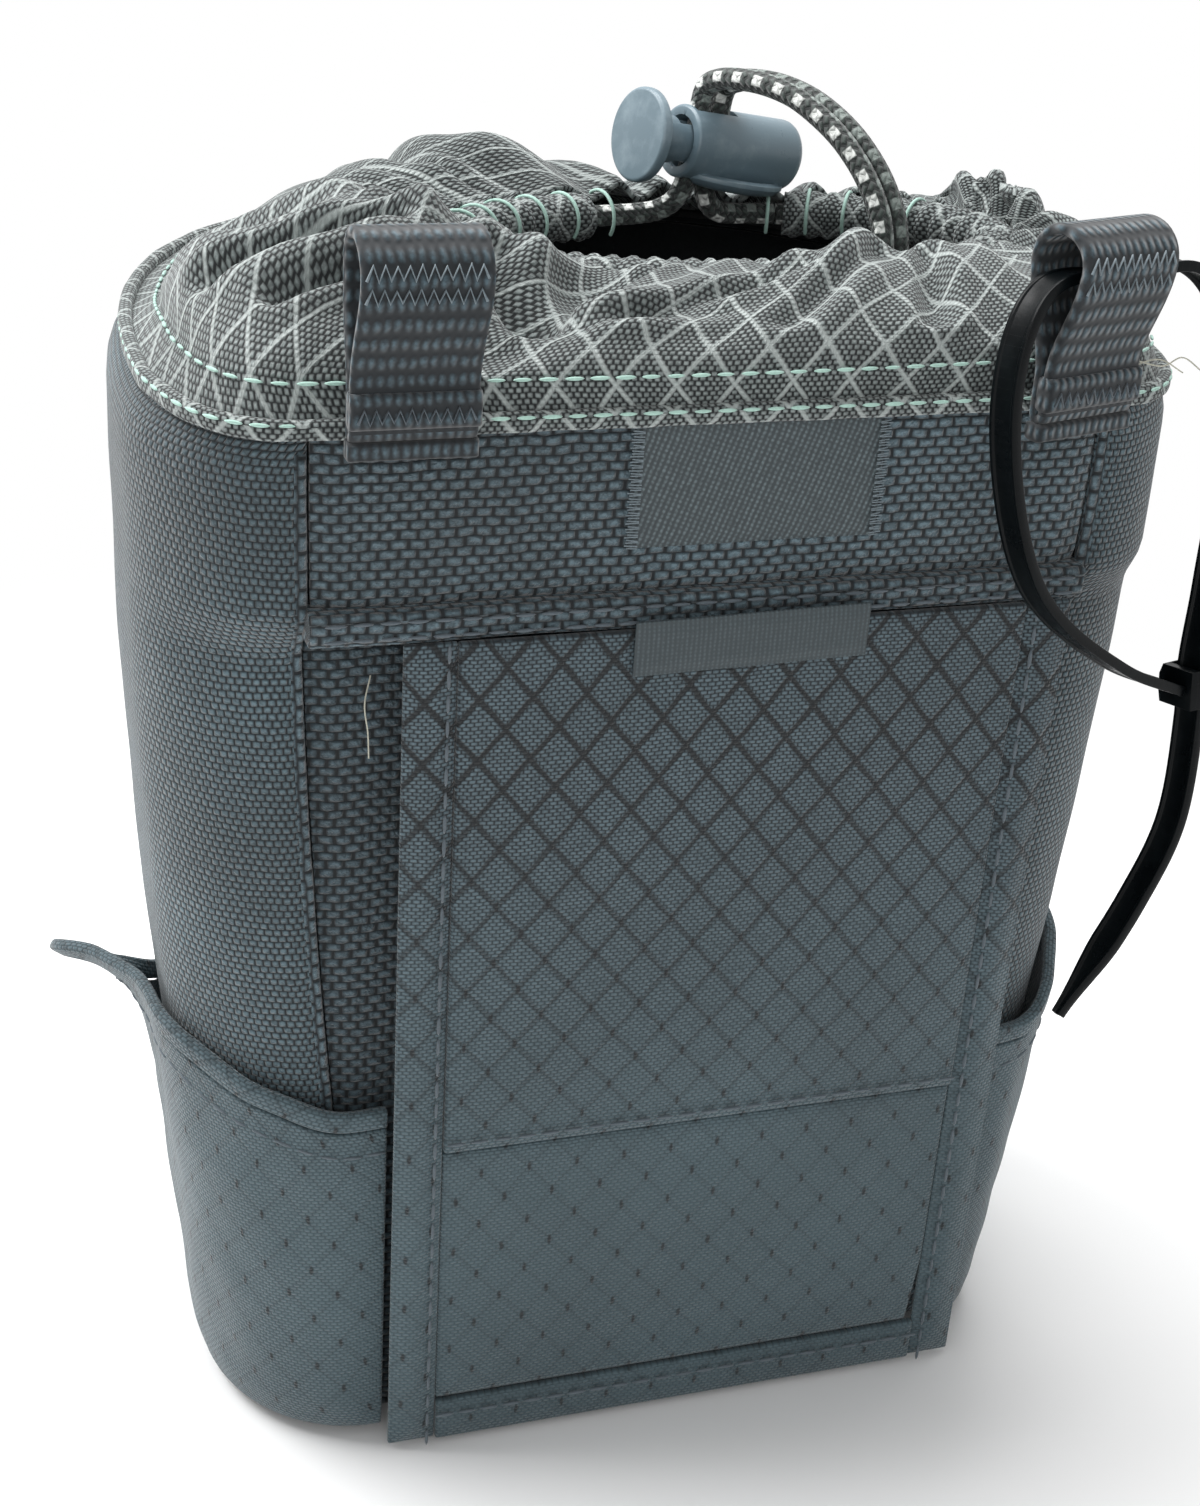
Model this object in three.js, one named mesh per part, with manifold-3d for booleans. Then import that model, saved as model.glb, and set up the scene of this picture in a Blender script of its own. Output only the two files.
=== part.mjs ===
// A padded pouch for one camera lens, with a drawcord collar, a belt sleeve on its flat side,
// two side pockets and two webbing loops, one of which holds a cable tie.
// Millimetres, +Z up. The origin is the middle of the base, on the surface that the pouch stands on.
// The flat belt side faces -Y, and the rounded side faces +Y.

import * as THREE from 'three';
import { mergeVertices } from 'three/addons/utils/BufferGeometryUtils.js';
import Module from 'manifold-3d';

const wasm = await Module();
wasm.setup();

// Clearances
const FIT_GAP = 0.3;
const CUT_OVERRUN = 2;

// Outline of the padded body, seen from above
const BODY_HEIGHT = 126.8;
const TOP_HALF_WIDTH = 58;
const BASE_HALF_WIDTH = 48.5;
const FRONT_DEPTH = 39.7;
const TOP_REAR_DEPTH = 46;
const BASE_REAR_DEPTH = 38;
const CORNER_RADIUS = 15;
const FOOT_ROUNDING = 1.8;
const FOOT_ROUNDING_HEIGHT = 3;

// Wall layers, from the outside in
const FABRIC_THICKNESS = 1.2;
const FOAM_THICKNESS = 4.5;
const LINING_THICKNESS = 0.8;
const BASE_FABRIC_THICKNESS = 1.6;
const BASE_FOAM_THICKNESS = 5;
const FACING_HEIGHT = 0.7;

// Front of the belt side
const BELT_PANEL_SETBACK = 0.7;
const BELT_GAP = 5.7;
const SLEEVE_THICKNESS = 0.9;
const TOP_BAND_RISE = 3.6;
const WELT_DROP = 22.5;
const WELT_HEIGHT = 3.2;
const WELT_PROUD = 1.8;

// Belt sleeve
const SLEEVE_HALF_WIDTH = 37.5;
const SLEEVE_OFFSET = 4;
const SLEEVE_NARROWING = 0.9;
const SLEEVE_STRIP_WIDTH = 5.6;
const SLEEVE_LAP_HEIGHT = 42;
const SLEEVE_LAP_PROUD = 0.5;
const SLEEVE_HEM_HEIGHT = 5.6;
const SLEEVE_FOOT_CLEARANCE = 0.8;

// Seam strips and labels
const SEAM_STRIP_WIDTH = 1.8;
const SEAM_STRIP_PROUD = 0.4;
const LABEL_THICKNESS = 0.8;
const WOVEN_LABEL_WIDTH = 27.5;
const WOVEN_LABEL_HEIGHT = 11.8;
const TAB_LABEL_WIDTH = 26.2;
const TAB_LABEL_HEIGHT = 6.1;
const LABEL_OFFSET = 3.6;

// Side pockets
const POCKET_FABRIC = 0.9;
const POCKET_FRONT_GAP = 2.2;
const POCKET_SIDE_GAP = 0.8;
const POCKET_RIM_HEIGHT = 44;
const POCKET_LEFT_RISE = 13;
const POCKET_RIGHT_RISE = 9;
const POCKET_LEFT_FLARE = 10;
const POCKET_RIGHT_FLARE = 7;
const POCKET_FLARE_POWER = 2.2;
const POCKET_RISE_POWER = 1.5;
const POCKET_START_GAP = 1;
const POCKET_CORNER_SHARE = 0.33;
const POCKET_BOTTOM = 1.4;
const POCKET_HEM_WIDTH = 1.5;
const POCKET_HEM_HEIGHT = 2.4;

// Collar and its drawcord channel
const COLLAR_THICKNESS = 1.2;
const COLLAR_RIM_RISE = 7.9;
const COLLAR_EDGE_SHARE = 0.17;
const COLLAR_CREST_SHARE = 0.7;
const COLLAR_SLOPE_POWER = 1.3;
const COLLAR_REAR_POWER = 1.8;
const COLLAR_REAR_SHARE = 0.7;
const COLLAR_REAR_END_SHARE = 0.9;
// The rolls' height round the collar: turns from -1 in the rear over the left to 0 in front and on to 1.
const COLLAR_TURN_SHARES = [
  -1, -0.92, -0.86, -0.8, -0.7, -0.5, -0.42, -0.3, -0.21, -0.155, -0.1,
  -0.03, 0.07, 0.12, 0.175, 0.27, 0.4, 0.52, 0.6, 0.7, 1,
];
const COLLAR_CREST_RISES = [
  7.9, 8.3, 13.6, 11.2, 11.9, 13.5, 15, 14.2, 11, 6, 11.6,
  11.6, 13.7, 11.4, 12.9, 9.8, 11, 12.6, 11.4, 8, 7.9,
];
const COLLAR_HEM_DROP = 2;
const COLLAR_HEM_RISE = 3.8;
const COLLAR_HEM_REAR_RISE = 1.8;
const COLLAR_HEM_LEAN = 3;
const COLLAR_HEM_THICKNESS = 0.7;
const GATHER_COUNT = 11;
const GATHER_DEPTH = 0.7;
const MOUTH_HALF_WIDTH = 33;
const MOUTH_HALF_DEPTH = 16;
const MOUTH_OFFSET_X = 13;
const MOUTH_OFFSET_Y = -7;
const CHANNEL_RISE = 7;
const CHANNEL_RADIUS = 2.8;
const CHANNEL_FABRIC = 0.8;
const CHANNEL_SLIT_DEGREES = 50;
const CHANNEL_EXIT_WIDTH = 26;
const CORD_EXIT_LENGTH = 1;

// Drawcord, two strands of elastic cord
const CORD_DIAMETER = 2.5;
const CORD_SIDES = 8;
const KNOT_DIAMETER = 7.4;
const KNOT_LENGTH = 8;
const KNOT_FULLNESS = 0.7;

// Cord lock, drawn along its own axis from the face of its button
const LOCK_FACE_X = 5.3;
const LOCK_FACE_Y = 5;
const LOCK_RISE = 10.2;
const LOCK_YAW_DEGREES = 14.2;
const LOCK_TILT_DEGREES = 10.1;
const LOCK_DISC_RADIUS = 5;
const LOCK_DISC_THICKNESS = 1.3;
const LOCK_STEM_RADIUS = 2.7;
const LOCK_STEM_END = 16;
const LOCK_BARREL_START = 6;
const LOCK_BARREL_END = 22;
const LOCK_BARREL_RADIUS = 4.2;
const LOCK_BARREL_ROUNDING = 1.4;
const LOCK_BORE_END = 20.4;
const LOCK_CORD_PLACE = 9.6;
const LOCK_SLOT_LENGTH = 5.9;
const LOCK_SLOT_WIDTH = 3.2;
const LOCK_TRAVEL = 2;
const LOCK_FLANGE_HALF_LENGTH = 7.2;
const LOCK_FLANGE_HALF_WIDTH = 5;
const LOCK_FLANGE_CENTRE = 14.2;
const LOCK_FLANGE_THICKNESS = 1.5;
const LOCK_FLANGE_DROP = 4.9;
const SPRING_WIRE = 0.45;
const SPRING_RADIUS = 1.35;
const SPRING_LENGTH = 2.6;
const SPRING_TURNS = 4;
const SPRING_CUP_RADIUS = 2;

// Webbing loops
const WEBBING_WIDTH = 12.7;
const WEBBING_THICKNESS = 1.3;
const LOOP_HEIGHT = 19.6;
const LOOP_EYE_RADIUS = 3;
const LOOP_EYE_DEPTH = 7.5;
const LOOP_STRAIGHT = 3.9;
const LOOP_PIVOT_RISE = 0.4;
const LOOP_FOOT_DROP = 5;
const LEFT_LOOP_X = -33.5;
const RIGHT_LOOP_X = 37.3;
const RIGHT_LOOP_TURN_DEGREES = 15;
const RIGHT_LOOP_FORWARD = 2;

// Cable tie, in its own upright plane: along the loop's width, and down from the eye
const TIE_WIDTH = 3.6;
const TIE_THICKNESS = 1.15;
const TIE_LEAN_DEGREES = 7.5;
const TIE_LEFT_REACH = 15.6;
const TIE_RIGHT_REACH = 17.2;
const TIE_EYE_RUN = 8.8;
// Place along the loop, to the right of its middle, and below the middle of its eye.
const TIE_OFFSET = 3.5;
const TIE_SEAT_DROP = 1.6;
const TIE_HEAD_DROP = 46.6;
const TIE_HEAD_PLACE = 14.2;
const TIE_HEAD_WIDTH = 5.2;
const TIE_HEAD_HEIGHT = 4.4;
const TIE_HEAD_DEPTH = 5;
const TIE_TAIL_LENGTH = 36;
const TIE_TAIL_SWEEP = 17.5;
// Points of the strap's course, as shares across and down between its named places.
const TIE_RISE_SHARES = [[0.35, 0.18], [0.82, 0.62]];
const TIE_LEFT_SHARES = [[0, 0.62], [0.35, 0.16]];
const TIE_RIGHT_SHARES = [[0.35, 0.2], [0, 0.85]];
const TIE_ENTRY_SHARES = [0.55, 0.6];
const TIE_TAIL_SHARES = [[0.1, 0.45], [0.4, 0.68], [1, 1]];

// Counts of facets
const BODY_ROWS = 8;
const COLLAR_ROWS = 7;
const COLLAR_COLUMNS = 66;
const RING_COLUMNS = 44;
const CHANNEL_SIDES = 12;
const ROUND_SIDES = 20;
const SIDE_COLUMNS = 13;
const REAR_COLUMNS = 14;
const POCKET_COLUMNS = 16;
const HEM_STEPS = 18;
const HEM_SIDES = 8;
const CORD_STEPS = 38;
const KNOT_ROWS = 8;
const KNOT_SIDES = 12;
const ROUNDING_STEPS = 4;
const SPRING_STEPS_PER_TURN = 8;
const SPRING_SIDES = 5;
const EYE_SEGMENTS = 8;
const TIE_STEPS = 72;

// Shares along half of the body's outline, from the middle of the front to the middle of the rear
const CORNER_START_SHARE = 0.25;
const CORNER_END_SHARE = 0.42;
const REAR_SEAM_SHARE = 0.7;
const REAR_ROUNDNESS = 2.4;

const colours = {
  nylon: 0x20252a,
  foam: 0x3a3d40,
  lining: 0x2b2e30,
  ripstop: 0x3a4247,
  collar: 0x77766f,
  webbing: 0x15181b,
  label: 0x2a3034,
  plastic: 0x2b333c,
  tie: 0x14171b,
  cord: 0x2e3432,
  steel: 0x9aa0a4,
};

const pouch = new THREE.Group();

function material(colour, roughness = 0.9, metalness = 0) {
  return new THREE.MeshStandardMaterial({ color: colour, roughness, metalness });
}

function mix(a, b, share) {
  return a + (b - a) * share;
}

function clampShare(value) {
  return Math.min(1, Math.max(0, value));
}

function smooth(value) {
  const share = clampShare(value);
  return share * share * (3 - 2 * share);
}

function radians(degrees) {
  return THREE.MathUtils.degToRad(degrees);
}

// Signed volume of an indexed geometry, used to turn its faces outwards.
function signedVolume(points, faces) {
  let volume = 0;
  for (const [a, b, c] of faces) {
    volume += points[a].dot(new THREE.Vector3().crossVectors(points[b], points[c])) / 6;
  }
  return volume;
}

function geometryOf(points, faces) {
  const outward = signedVolume(points, faces) > 0;
  const index = faces.flatMap(([a, b, c]) => (outward ? [a, b, c] : [a, c, b]));
  const geometry = new THREE.BufferGeometry();
  geometry.setAttribute('position', new THREE.Float32BufferAttribute(points.flatMap((p) => p.toArray()), 3));
  geometry.setIndex(index);
  return geometry;
}

// A sheet with two faces, outer(u, v) and inner(u, v), closed round its edges.
// u and v run from 0 to 1, and a ring joins u = 1 to u = 0.
function sheet(outer, inner, columns, rows, ring = false) {
  const points = [];
  const faces = [];
  const perSide = (columns + (ring ? 0 : 1)) * (rows + 1);
  const across = columns + (ring ? 0 : 1);
  for (const face of [outer, inner]) {
    for (let j = 0; j <= rows; j += 1) {
      for (let i = 0; i < across; i += 1) {
        points.push(face(i / columns, j / rows));
      }
    }
  }
  const at = (side, i, j) => side * perSide + j * across + (i % across);
  const quad = (a, b, c, d) => faces.push([a, b, c], [a, c, d]);
  for (let j = 0; j < rows; j += 1) {
    for (let i = 0; i < columns; i += 1) {
      quad(at(0, i, j), at(0, i + 1, j), at(0, i + 1, j + 1), at(0, i, j + 1));
      quad(at(1, i, j), at(1, i, j + 1), at(1, i + 1, j + 1), at(1, i + 1, j));
    }
  }
  for (let i = 0; i < columns; i += 1) {
    quad(at(0, i, 0), at(1, i, 0), at(1, i + 1, 0), at(0, i + 1, 0));
    quad(at(0, i, rows), at(0, i + 1, rows), at(1, i + 1, rows), at(1, i, rows));
  }
  if (!ring) {
    for (let j = 0; j < rows; j += 1) {
      quad(at(0, 0, j), at(0, 0, j + 1), at(1, 0, j + 1), at(1, 0, j));
      quad(at(0, columns, j), at(1, columns, j), at(1, columns, j + 1), at(0, columns, j + 1));
    }
  }
  return geometryOf(points, faces);
}

// A section of points(i) carried along path frames. Each frame is {at, side, up}.
function sweep(frames, section, closed = false) {
  const points = [];
  const faces = [];
  const sides = section.length;
  for (const { at, side, up } of frames) {
    for (const [s, u] of section) {
      points.push(at.clone().addScaledVector(side, s).addScaledVector(up, u));
    }
  }
  const steps = closed ? frames.length : frames.length - 1;
  for (let k = 0; k < steps; k += 1) {
    const next = (k + 1) % frames.length;
    for (let i = 0; i < sides; i += 1) {
      const j = (i + 1) % sides;
      faces.push([k * sides + i, next * sides + i, next * sides + j]);
      faces.push([k * sides + i, next * sides + j, k * sides + j]);
    }
  }
  if (!closed) {
    const contour = section.map(([s, u]) => new THREE.Vector2(s, u));
    const last = (frames.length - 1) * sides;
    for (const [a, b, c] of THREE.ShapeUtils.triangulateShape(contour, [])) {
      faces.push([a, b, c]);
      faces.push([last + a, last + c, last + b]);
    }
    fixCaps(points, faces, frames.length, sides);
  }
  return geometryOf(points, faces);
}

// The caps have to run the same way round as the walls, whichever way the section is drawn.
function fixCaps(points, faces, count, sides) {
  const caps = faces.splice((count - 1) * sides * 2);
  const used = new Set(faces.map(([a, b]) => `${a},${b}`).concat(
    faces.map(([, b, c]) => `${b},${c}`),
    faces.map(([a, , c]) => `${c},${a}`),
  ));
  const clash = caps.some(([a, b, c]) => [[a, b], [b, c], [c, a]].some(([p, q]) => used.has(`${p},${q}`)));
  faces.push(...caps.map(([a, b, c]) => (clash ? [a, c, b] : [a, b, c])));
}

function ellipseSection(halfWidth, halfHeight, sides) {
  return Array.from({ length: sides }, (_, i) => {
    const angle = (2 * Math.PI * i) / sides;
    return [halfWidth * Math.cos(angle), halfHeight * Math.sin(angle)];
  });
}

function addMesh(name, geometry, colour, parent = pouch, roughness = 0.9, metalness = 0) {
  const mesh = new THREE.Mesh(geometry, material(colour, roughness, metalness));
  mesh.name = name;
  parent.add(mesh);
  return mesh;
}

// A flat plate: its outline lies in X and Z, from face y = front to y = back.
function plateXZ(corners, front, back) {
  const shape = new THREE.Shape(corners.map(([x, z]) => new THREE.Vector2(x, z)));
  const geometry = new THREE.ExtrudeGeometry(shape, { depth: back - front, bevelEnabled: false });
  geometry.rotateX(Math.PI / 2);
  geometry.translate(0, back, 0);
  return geometry;
}

function box(x0, x1, y0, y1, z0, z1) {
  const geometry = new THREE.BoxGeometry(x1 - x0, y1 - y0, z1 - z0);
  geometry.translate((x0 + x1) / 2, (y0 + y1) / 2, (z0 + z1) / 2);
  return geometry;
}

function toSolid(geometry) {
  const plain = geometry.clone();
  plain.deleteAttribute('normal');
  plain.deleteAttribute('uv');
  const merged = mergeVertices(plain);
  return new wasm.Manifold(new wasm.Mesh({
    numProp: 3,
    vertProperties: merged.attributes.position.array,
    triVerts: Uint32Array.from(merged.index.array),
  }));
}

function fromSolid(solid) {
  const result = solid.getMesh();
  const geometry = new THREE.BufferGeometry();
  geometry.setAttribute('position', new THREE.Float32BufferAttribute(result.vertProperties, 3));
  geometry.setIndex(Array.from(result.triVerts));
  return geometry;
}

// Heights that follow the top of the body

const weltBottom = BODY_HEIGHT - WELT_DROP;
const collarHemBottom = BODY_HEIGHT - COLLAR_HEM_DROP;
const channelHeight = BODY_HEIGHT + CHANNEL_RISE;
const loopPivotHeight = BODY_HEIGHT + LOOP_PIVOT_RISE;
const loopFootBottom = BODY_HEIGHT - LOOP_FOOT_DROP;

// Body outline

const cornerCentreY = CORNER_RADIUS - FRONT_DEPTH;
const sideFrontY = -FRONT_DEPTH;
const beltPanelFace = sideFrontY + BELT_PANEL_SETBACK;
const sleeveInnerFace = beltPanelFace - BELT_GAP;
const sleeveFace = sleeveInnerFace - SLEEVE_THICKNESS;
const topBandFace = sideFrontY - TOP_BAND_RISE;
const topBandBottom = weltBottom + WELT_HEIGHT + FIT_GAP;
const wallBottom = BASE_FABRIC_THICKNESS + FIT_GAP;
const foamInset = FABRIC_THICKNESS + FIT_GAP;
const beltFoamFace = beltPanelFace + foamInset;
const padBottom = wallBottom + BASE_FOAM_THICKNESS + FIT_GAP;
const liningInset = foamInset + FOAM_THICKNESS + FIT_GAP;
const liningInner = liningInset + LINING_THICKNESS;

function heightShare(z) {
  return Math.sin((Math.PI / 2) * clampShare(z / BODY_HEIGHT));
}

function footInset(z) {
  const share = clampShare(1 - z / FOOT_ROUNDING_HEIGHT);
  return FOOT_ROUNDING * share * share;
}

function halfWidth(z) {
  return mix(BASE_HALF_WIDTH, TOP_HALF_WIDTH, heightShare(z));
}

function rearDepth(z) {
  return mix(BASE_REAR_DEPTH, TOP_REAR_DEPTH, heightShare(z));
}

function cornerX(z) {
  return halfWidth(z) - CORNER_RADIUS;
}

// How far the front corners come forward beside the top band.
function bandSwell(z) {
  return TOP_BAND_RISE * smooth((z - weltBottom + WELT_HEIGHT) / (2 * WELT_HEIGHT));
}

// A point of the outline at height z. The share t runs from the middle of the front to the middle
// of the rear, and side is 1 on the right and -1 on the left. frontY moves the flat front alone.
function outlinePoint(side, t, z, inset, frontY = sideFrontY - bandSwell(z) + inset) {
  const radius = CORNER_RADIUS - inset;
  const flat = cornerX(z);
  if (t <= CORNER_START_SHARE) {
    return new THREE.Vector3(side * flat * (t / CORNER_START_SHARE), frontY, z);
  }
  if (t <= CORNER_END_SHARE) {
    const angle = (Math.PI / 2) * ((t - CORNER_START_SHARE) / (CORNER_END_SHARE - CORNER_START_SHARE));
    return new THREE.Vector3(
      side * (flat + radius * Math.sin(angle)),
      cornerCentreY - (cornerCentreY - frontY) * Math.cos(angle),
      z,
    );
  }
  const angle = (Math.PI / 2) * ((t - CORNER_END_SHARE) / (1 - CORNER_END_SHARE));
  const power = 2 / REAR_ROUNDNESS;
  return new THREE.Vector3(
    side * (flat + radius) * Math.max(0, Math.cos(angle)) ** power,
    cornerCentreY + (rearDepth(z) - inset - cornerCentreY) * Math.sin(angle) ** power,
    z,
  );
}

// The whole ring: u runs once round, from the middle of the rear and back to it.
function ringPoint(u, z, inset, frontY) {
  const turn = 2 * u - 1;
  return outlinePoint(turn < 0 ? -1 : 1, Math.abs(turn), z, inset, frontY);
}

// Half of the wall, from the front seam round the corner to the rear seam. A swelling wall comes
// forward beside the top band.
function sideWall(side, z0, z1, outerInset, innerInset, swells, rows) {
  const face = (inset) => (u, v) => {
    const z = mix(z0, z1, v);
    const share = mix(CORNER_START_SHARE, REAR_SEAM_SHARE, u);
    const depth = inset + footInset(z);
    return outlinePoint(side, share, z, depth, sideFrontY + depth - (swells ? bandSwell(z) : 0));
  };
  return sheet(face(outerInset), face(innerInset), SIDE_COLUMNS, rows);
}

function rearWall(z0, z1, outerInset, innerInset) {
  const face = (inset) => (u, v) => {
    const z = mix(z0, z1, v);
    const turn = 2 * u - 1;
    const share = mix(1, REAR_SEAM_SHARE + seamGapShare, Math.abs(turn));
    return outlinePoint(turn < 0 ? -1 : 1, share, z, inset + footInset(z));
  };
  return sheet(face(outerInset), face(innerInset), REAR_COLUMNS, BODY_ROWS);
}

// The share of the half outline that a seam's clearance takes.
const seamGapShare = (2 * FIT_GAP) / (TOP_HALF_WIDTH + TOP_REAR_DEPTH);

function plateFromRing(z0, z1, inset, frontY) {
  const outline = [];
  for (let i = 0; i < COLLAR_COLUMNS; i += 1) {
    const point = ringPoint(i / COLLAR_COLUMNS, z0, inset, frontY);
    outline.push(new THREE.Vector2(point.x, point.y));
  }
  const shape = new THREE.Shape(outline);
  const geometry = new THREE.ExtrudeGeometry(shape, { depth: z1 - z0, bevelEnabled: false });
  geometry.translate(0, 0, z0);
  return geometry;
}

// Outer shell, padding and lining

// A flat panel between the front seams, from y = face backwards.
function frontPanel(z0, z1, face, thickness, margin) {
  const at = (y) => (u, v) => {
    const z = mix(z0, z1, v);
    const reach = cornerX(z) - footInset(z) - margin;
    return new THREE.Vector3(mix(-reach, reach, u), y, z);
  };
  return sheet(at(face), at(face + thickness), 1, BODY_ROWS);
}

function addShell() {
  const beltTop = weltBottom - FIT_GAP;
  addMesh('base_panel', plateFromRing(0, BASE_FABRIC_THICKNESS, FOOT_ROUNDING), colours.nylon);
  const belt = frontPanel(wallBottom, beltTop, beltPanelFace, FABRIC_THICKNESS, FIT_GAP);
  addMesh('belt_panel', belt, colours.nylon);
  const band = frontPanel(topBandBottom, BODY_HEIGHT, topBandFace, FABRIC_THICKNESS, FIT_GAP);
  addMesh('top_band_panel', band, colours.nylon);
  for (const [name, side] of [['left_side_panel', -1], ['right_side_panel', 1]]) {
    const wall = sideWall(side, wallBottom, BODY_HEIGHT, 0, FABRIC_THICKNESS, true, 2 * BODY_ROWS);
    addMesh(name, wall, colours.nylon);
  }
  addMesh('rounded_panel', rearWall(wallBottom, BODY_HEIGHT, 0, FABRIC_THICKNESS), colours.nylon);
}

function addWelt() {
  const reach = cornerX(weltBottom) - SEAM_STRIP_WIDTH;
  const front = topBandFace - WELT_PROUD;
  const back = beltPanelFace + FABRIC_THICKNESS;
  addMesh('top_welt', box(-reach, reach, front, back, weltBottom, weltBottom + WELT_HEIGHT), colours.nylon);
}

function addPadding() {
  const top = BODY_HEIGHT - FACING_HEIGHT - FIT_GAP;
  const foamInner = foamInset + FOAM_THICKNESS;
  const baseTop = wallBottom + BASE_FOAM_THICKNESS;
  const bandFoamFace = topBandFace + foamInset;
  const bandFoamThickness = beltFoamFace - FIT_GAP - bandFoamFace;
  const basePad = plateFromRing(wallBottom, baseTop, foamInset + FOOT_ROUNDING, beltFoamFace);
  addMesh('base_pad', basePad, colours.foam);
  const beltPad = frontPanel(padBottom, top, beltFoamFace, FOAM_THICKNESS, 2 * FIT_GAP);
  addMesh('belt_side_pad', beltPad, colours.foam);
  const bandPad = frontPanel(topBandBottom, top, bandFoamFace, bandFoamThickness, 2 * FIT_GAP);
  addMesh('top_band_pad', bandPad, colours.foam);
  for (const [name, side] of [['left_pad', -1], ['right_pad', 1]]) {
    addMesh(name, sideWall(side, padBottom, top, foamInset, foamInner, false, BODY_ROWS), colours.foam);
  }
  addMesh('rounded_pad', rearWall(padBottom, top, foamInset, foamInner), colours.foam);
}

function addLining() {
  const floorTop = padBottom + LINING_THICKNESS;
  const top = BODY_HEIGHT - FACING_HEIGHT - FIT_GAP;
  const front = beltFoamFace + FOAM_THICKNESS + FIT_GAP;
  const innerFront = front + LINING_THICKNESS;
  const ring = (z0, z1, inset, frontY) => (u, v) => ringPoint(u, mix(z0, z1, v), inset, frontY);
  const wallOuter = ring(floorTop + FIT_GAP, top, liningInset, front);
  const wallInner = ring(floorTop + FIT_GAP, top, liningInner, innerFront);
  addMesh('lining_wall', sheet(wallOuter, wallInner, RING_COLUMNS, BODY_ROWS, true), colours.lining);
  const floor = plateFromRing(padBottom, floorTop, liningInset + FIT_GAP, front + FIT_GAP);
  addMesh('lining_floor', floor, colours.lining);
  const facingBottom = BODY_HEIGHT - FACING_HEIGHT;
  const facingOuter = ring(facingBottom, BODY_HEIGHT, foamInset, topBandFace + foamInset);
  const facingInner = ring(facingBottom, BODY_HEIGHT, liningInner, innerFront);
  addMesh('top_facing', sheet(facingOuter, facingInner, RING_COLUMNS, 1, true), colours.lining);
}

// Belt sleeve

function sleeveEdge(side, z) {
  const half = SLEEVE_HALF_WIDTH - SLEEVE_NARROWING * (1 - z / weltBottom);
  return SLEEVE_OFFSET + side * half;
}

function sleevePlate(left, right, bottom, top, face, back) {
  return plateXZ([
    [left(bottom), bottom],
    [right(bottom), bottom],
    [right(top), top],
    [left(top), top],
  ], face, back);
}

function addSleeve() {
  const top = weltBottom - FIT_GAP;
  const bottom = SLEEVE_FOOT_CLEARANCE;
  const outLeft = (z) => sleeveEdge(-1, z);
  const outRight = (z) => sleeveEdge(1, z);
  const inLeft = (z) => outLeft(z) + SLEEVE_STRIP_WIDTH;
  const inRight = (z) => outRight(z) - SLEEVE_STRIP_WIDTH;
  const panelLeft = (z) => inLeft(z) + FIT_GAP;
  const panelRight = (z) => inRight(z) - FIT_GAP;
  // The lower panel is sewn down, so it reaches back to the belt panel, between the front seams.
  const seamSide = (z) => cornerX(z) - FIT_GAP;
  const deepRight = (z) => Math.min(panelRight(z), seamSide(z));
  const hemTop = bottom + SLEEVE_HEM_HEIGHT;
  const lapTop = SLEEVE_LAP_HEIGHT - FIT_GAP;
  const upperFace = sleeveFace - SLEEVE_LAP_PROUD;
  const deepBack = beltPanelFace - FIT_GAP;
  const leftStrip = sleevePlate(outLeft, inLeft, bottom, top, sleeveFace, sleeveInnerFace);
  const rightStrip = sleevePlate(inRight, outRight, bottom, top, sleeveFace, sleeveInnerFace);
  const upper = sleevePlate(panelLeft, panelRight, SLEEVE_LAP_HEIGHT, top, upperFace, sleeveInnerFace);
  const lower = sleevePlate(panelLeft, deepRight, hemTop + FIT_GAP, lapTop, sleeveFace, deepBack);
  const hem = sleevePlate(panelLeft, panelRight, bottom, hemTop, upperFace, sleeveInnerFace);
  addMesh('sleeve_left_strip', leftStrip, colours.ripstop);
  addMesh('sleeve_right_strip', rightStrip, colours.ripstop);
  addMesh('sleeve_upper_panel', upper, colours.ripstop);
  addMesh('sleeve_lower_panel', lower, colours.ripstop);
  addMesh('sleeve_bottom_hem', hem, colours.ripstop);
}

function addSeamStrips() {
  for (const [name, side] of [['left_front_seam', -1], ['right_front_seam', 1]]) {
    const strip = (forward) => (u, v) => {
      const z = Math.min(mix(wallBottom, BODY_HEIGHT, v), collarHemBottom - FIT_GAP);
      const x = cornerX(z) + SEAM_STRIP_WIDTH * u;
      return new THREE.Vector3(side * x, sideFrontY - bandSwell(z) - forward, z);
    };
    addMesh(name, sheet(strip(FIT_GAP + SEAM_STRIP_PROUD), strip(FIT_GAP), 1, 2 * BODY_ROWS), colours.nylon);
  }
}

function labelPlate(width, height, top, back) {
  const left = LABEL_OFFSET - width / 2;
  return box(left, left + width, back - LABEL_THICKNESS, back, top - height, top);
}

function addLabels() {
  const wovenTop = collarHemBottom - FIT_GAP;
  const wovenBack = topBandFace - FIT_GAP;
  const tabTop = weltBottom + WELT_HEIGHT / 2;
  const tabBack = Math.min(topBandFace - WELT_PROUD, sleeveFace - SLEEVE_LAP_PROUD) - FIT_GAP;
  const woven = labelPlate(WOVEN_LABEL_WIDTH, WOVEN_LABEL_HEIGHT, wovenTop, wovenBack);
  addMesh('woven_label', woven, colours.label);
  addMesh('tab_label', labelPlate(TAB_LABEL_WIDTH, TAB_LABEL_HEIGHT, tabTop, tabBack), colours.label);
}

// Side pockets

// How far the pocket swells at a place along it: 0 at its ends and 1 in its middle.
function pocketSwell(u) {
  return Math.sin(Math.PI * clampShare(u)) ** POCKET_RISE_POWER;
}

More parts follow.
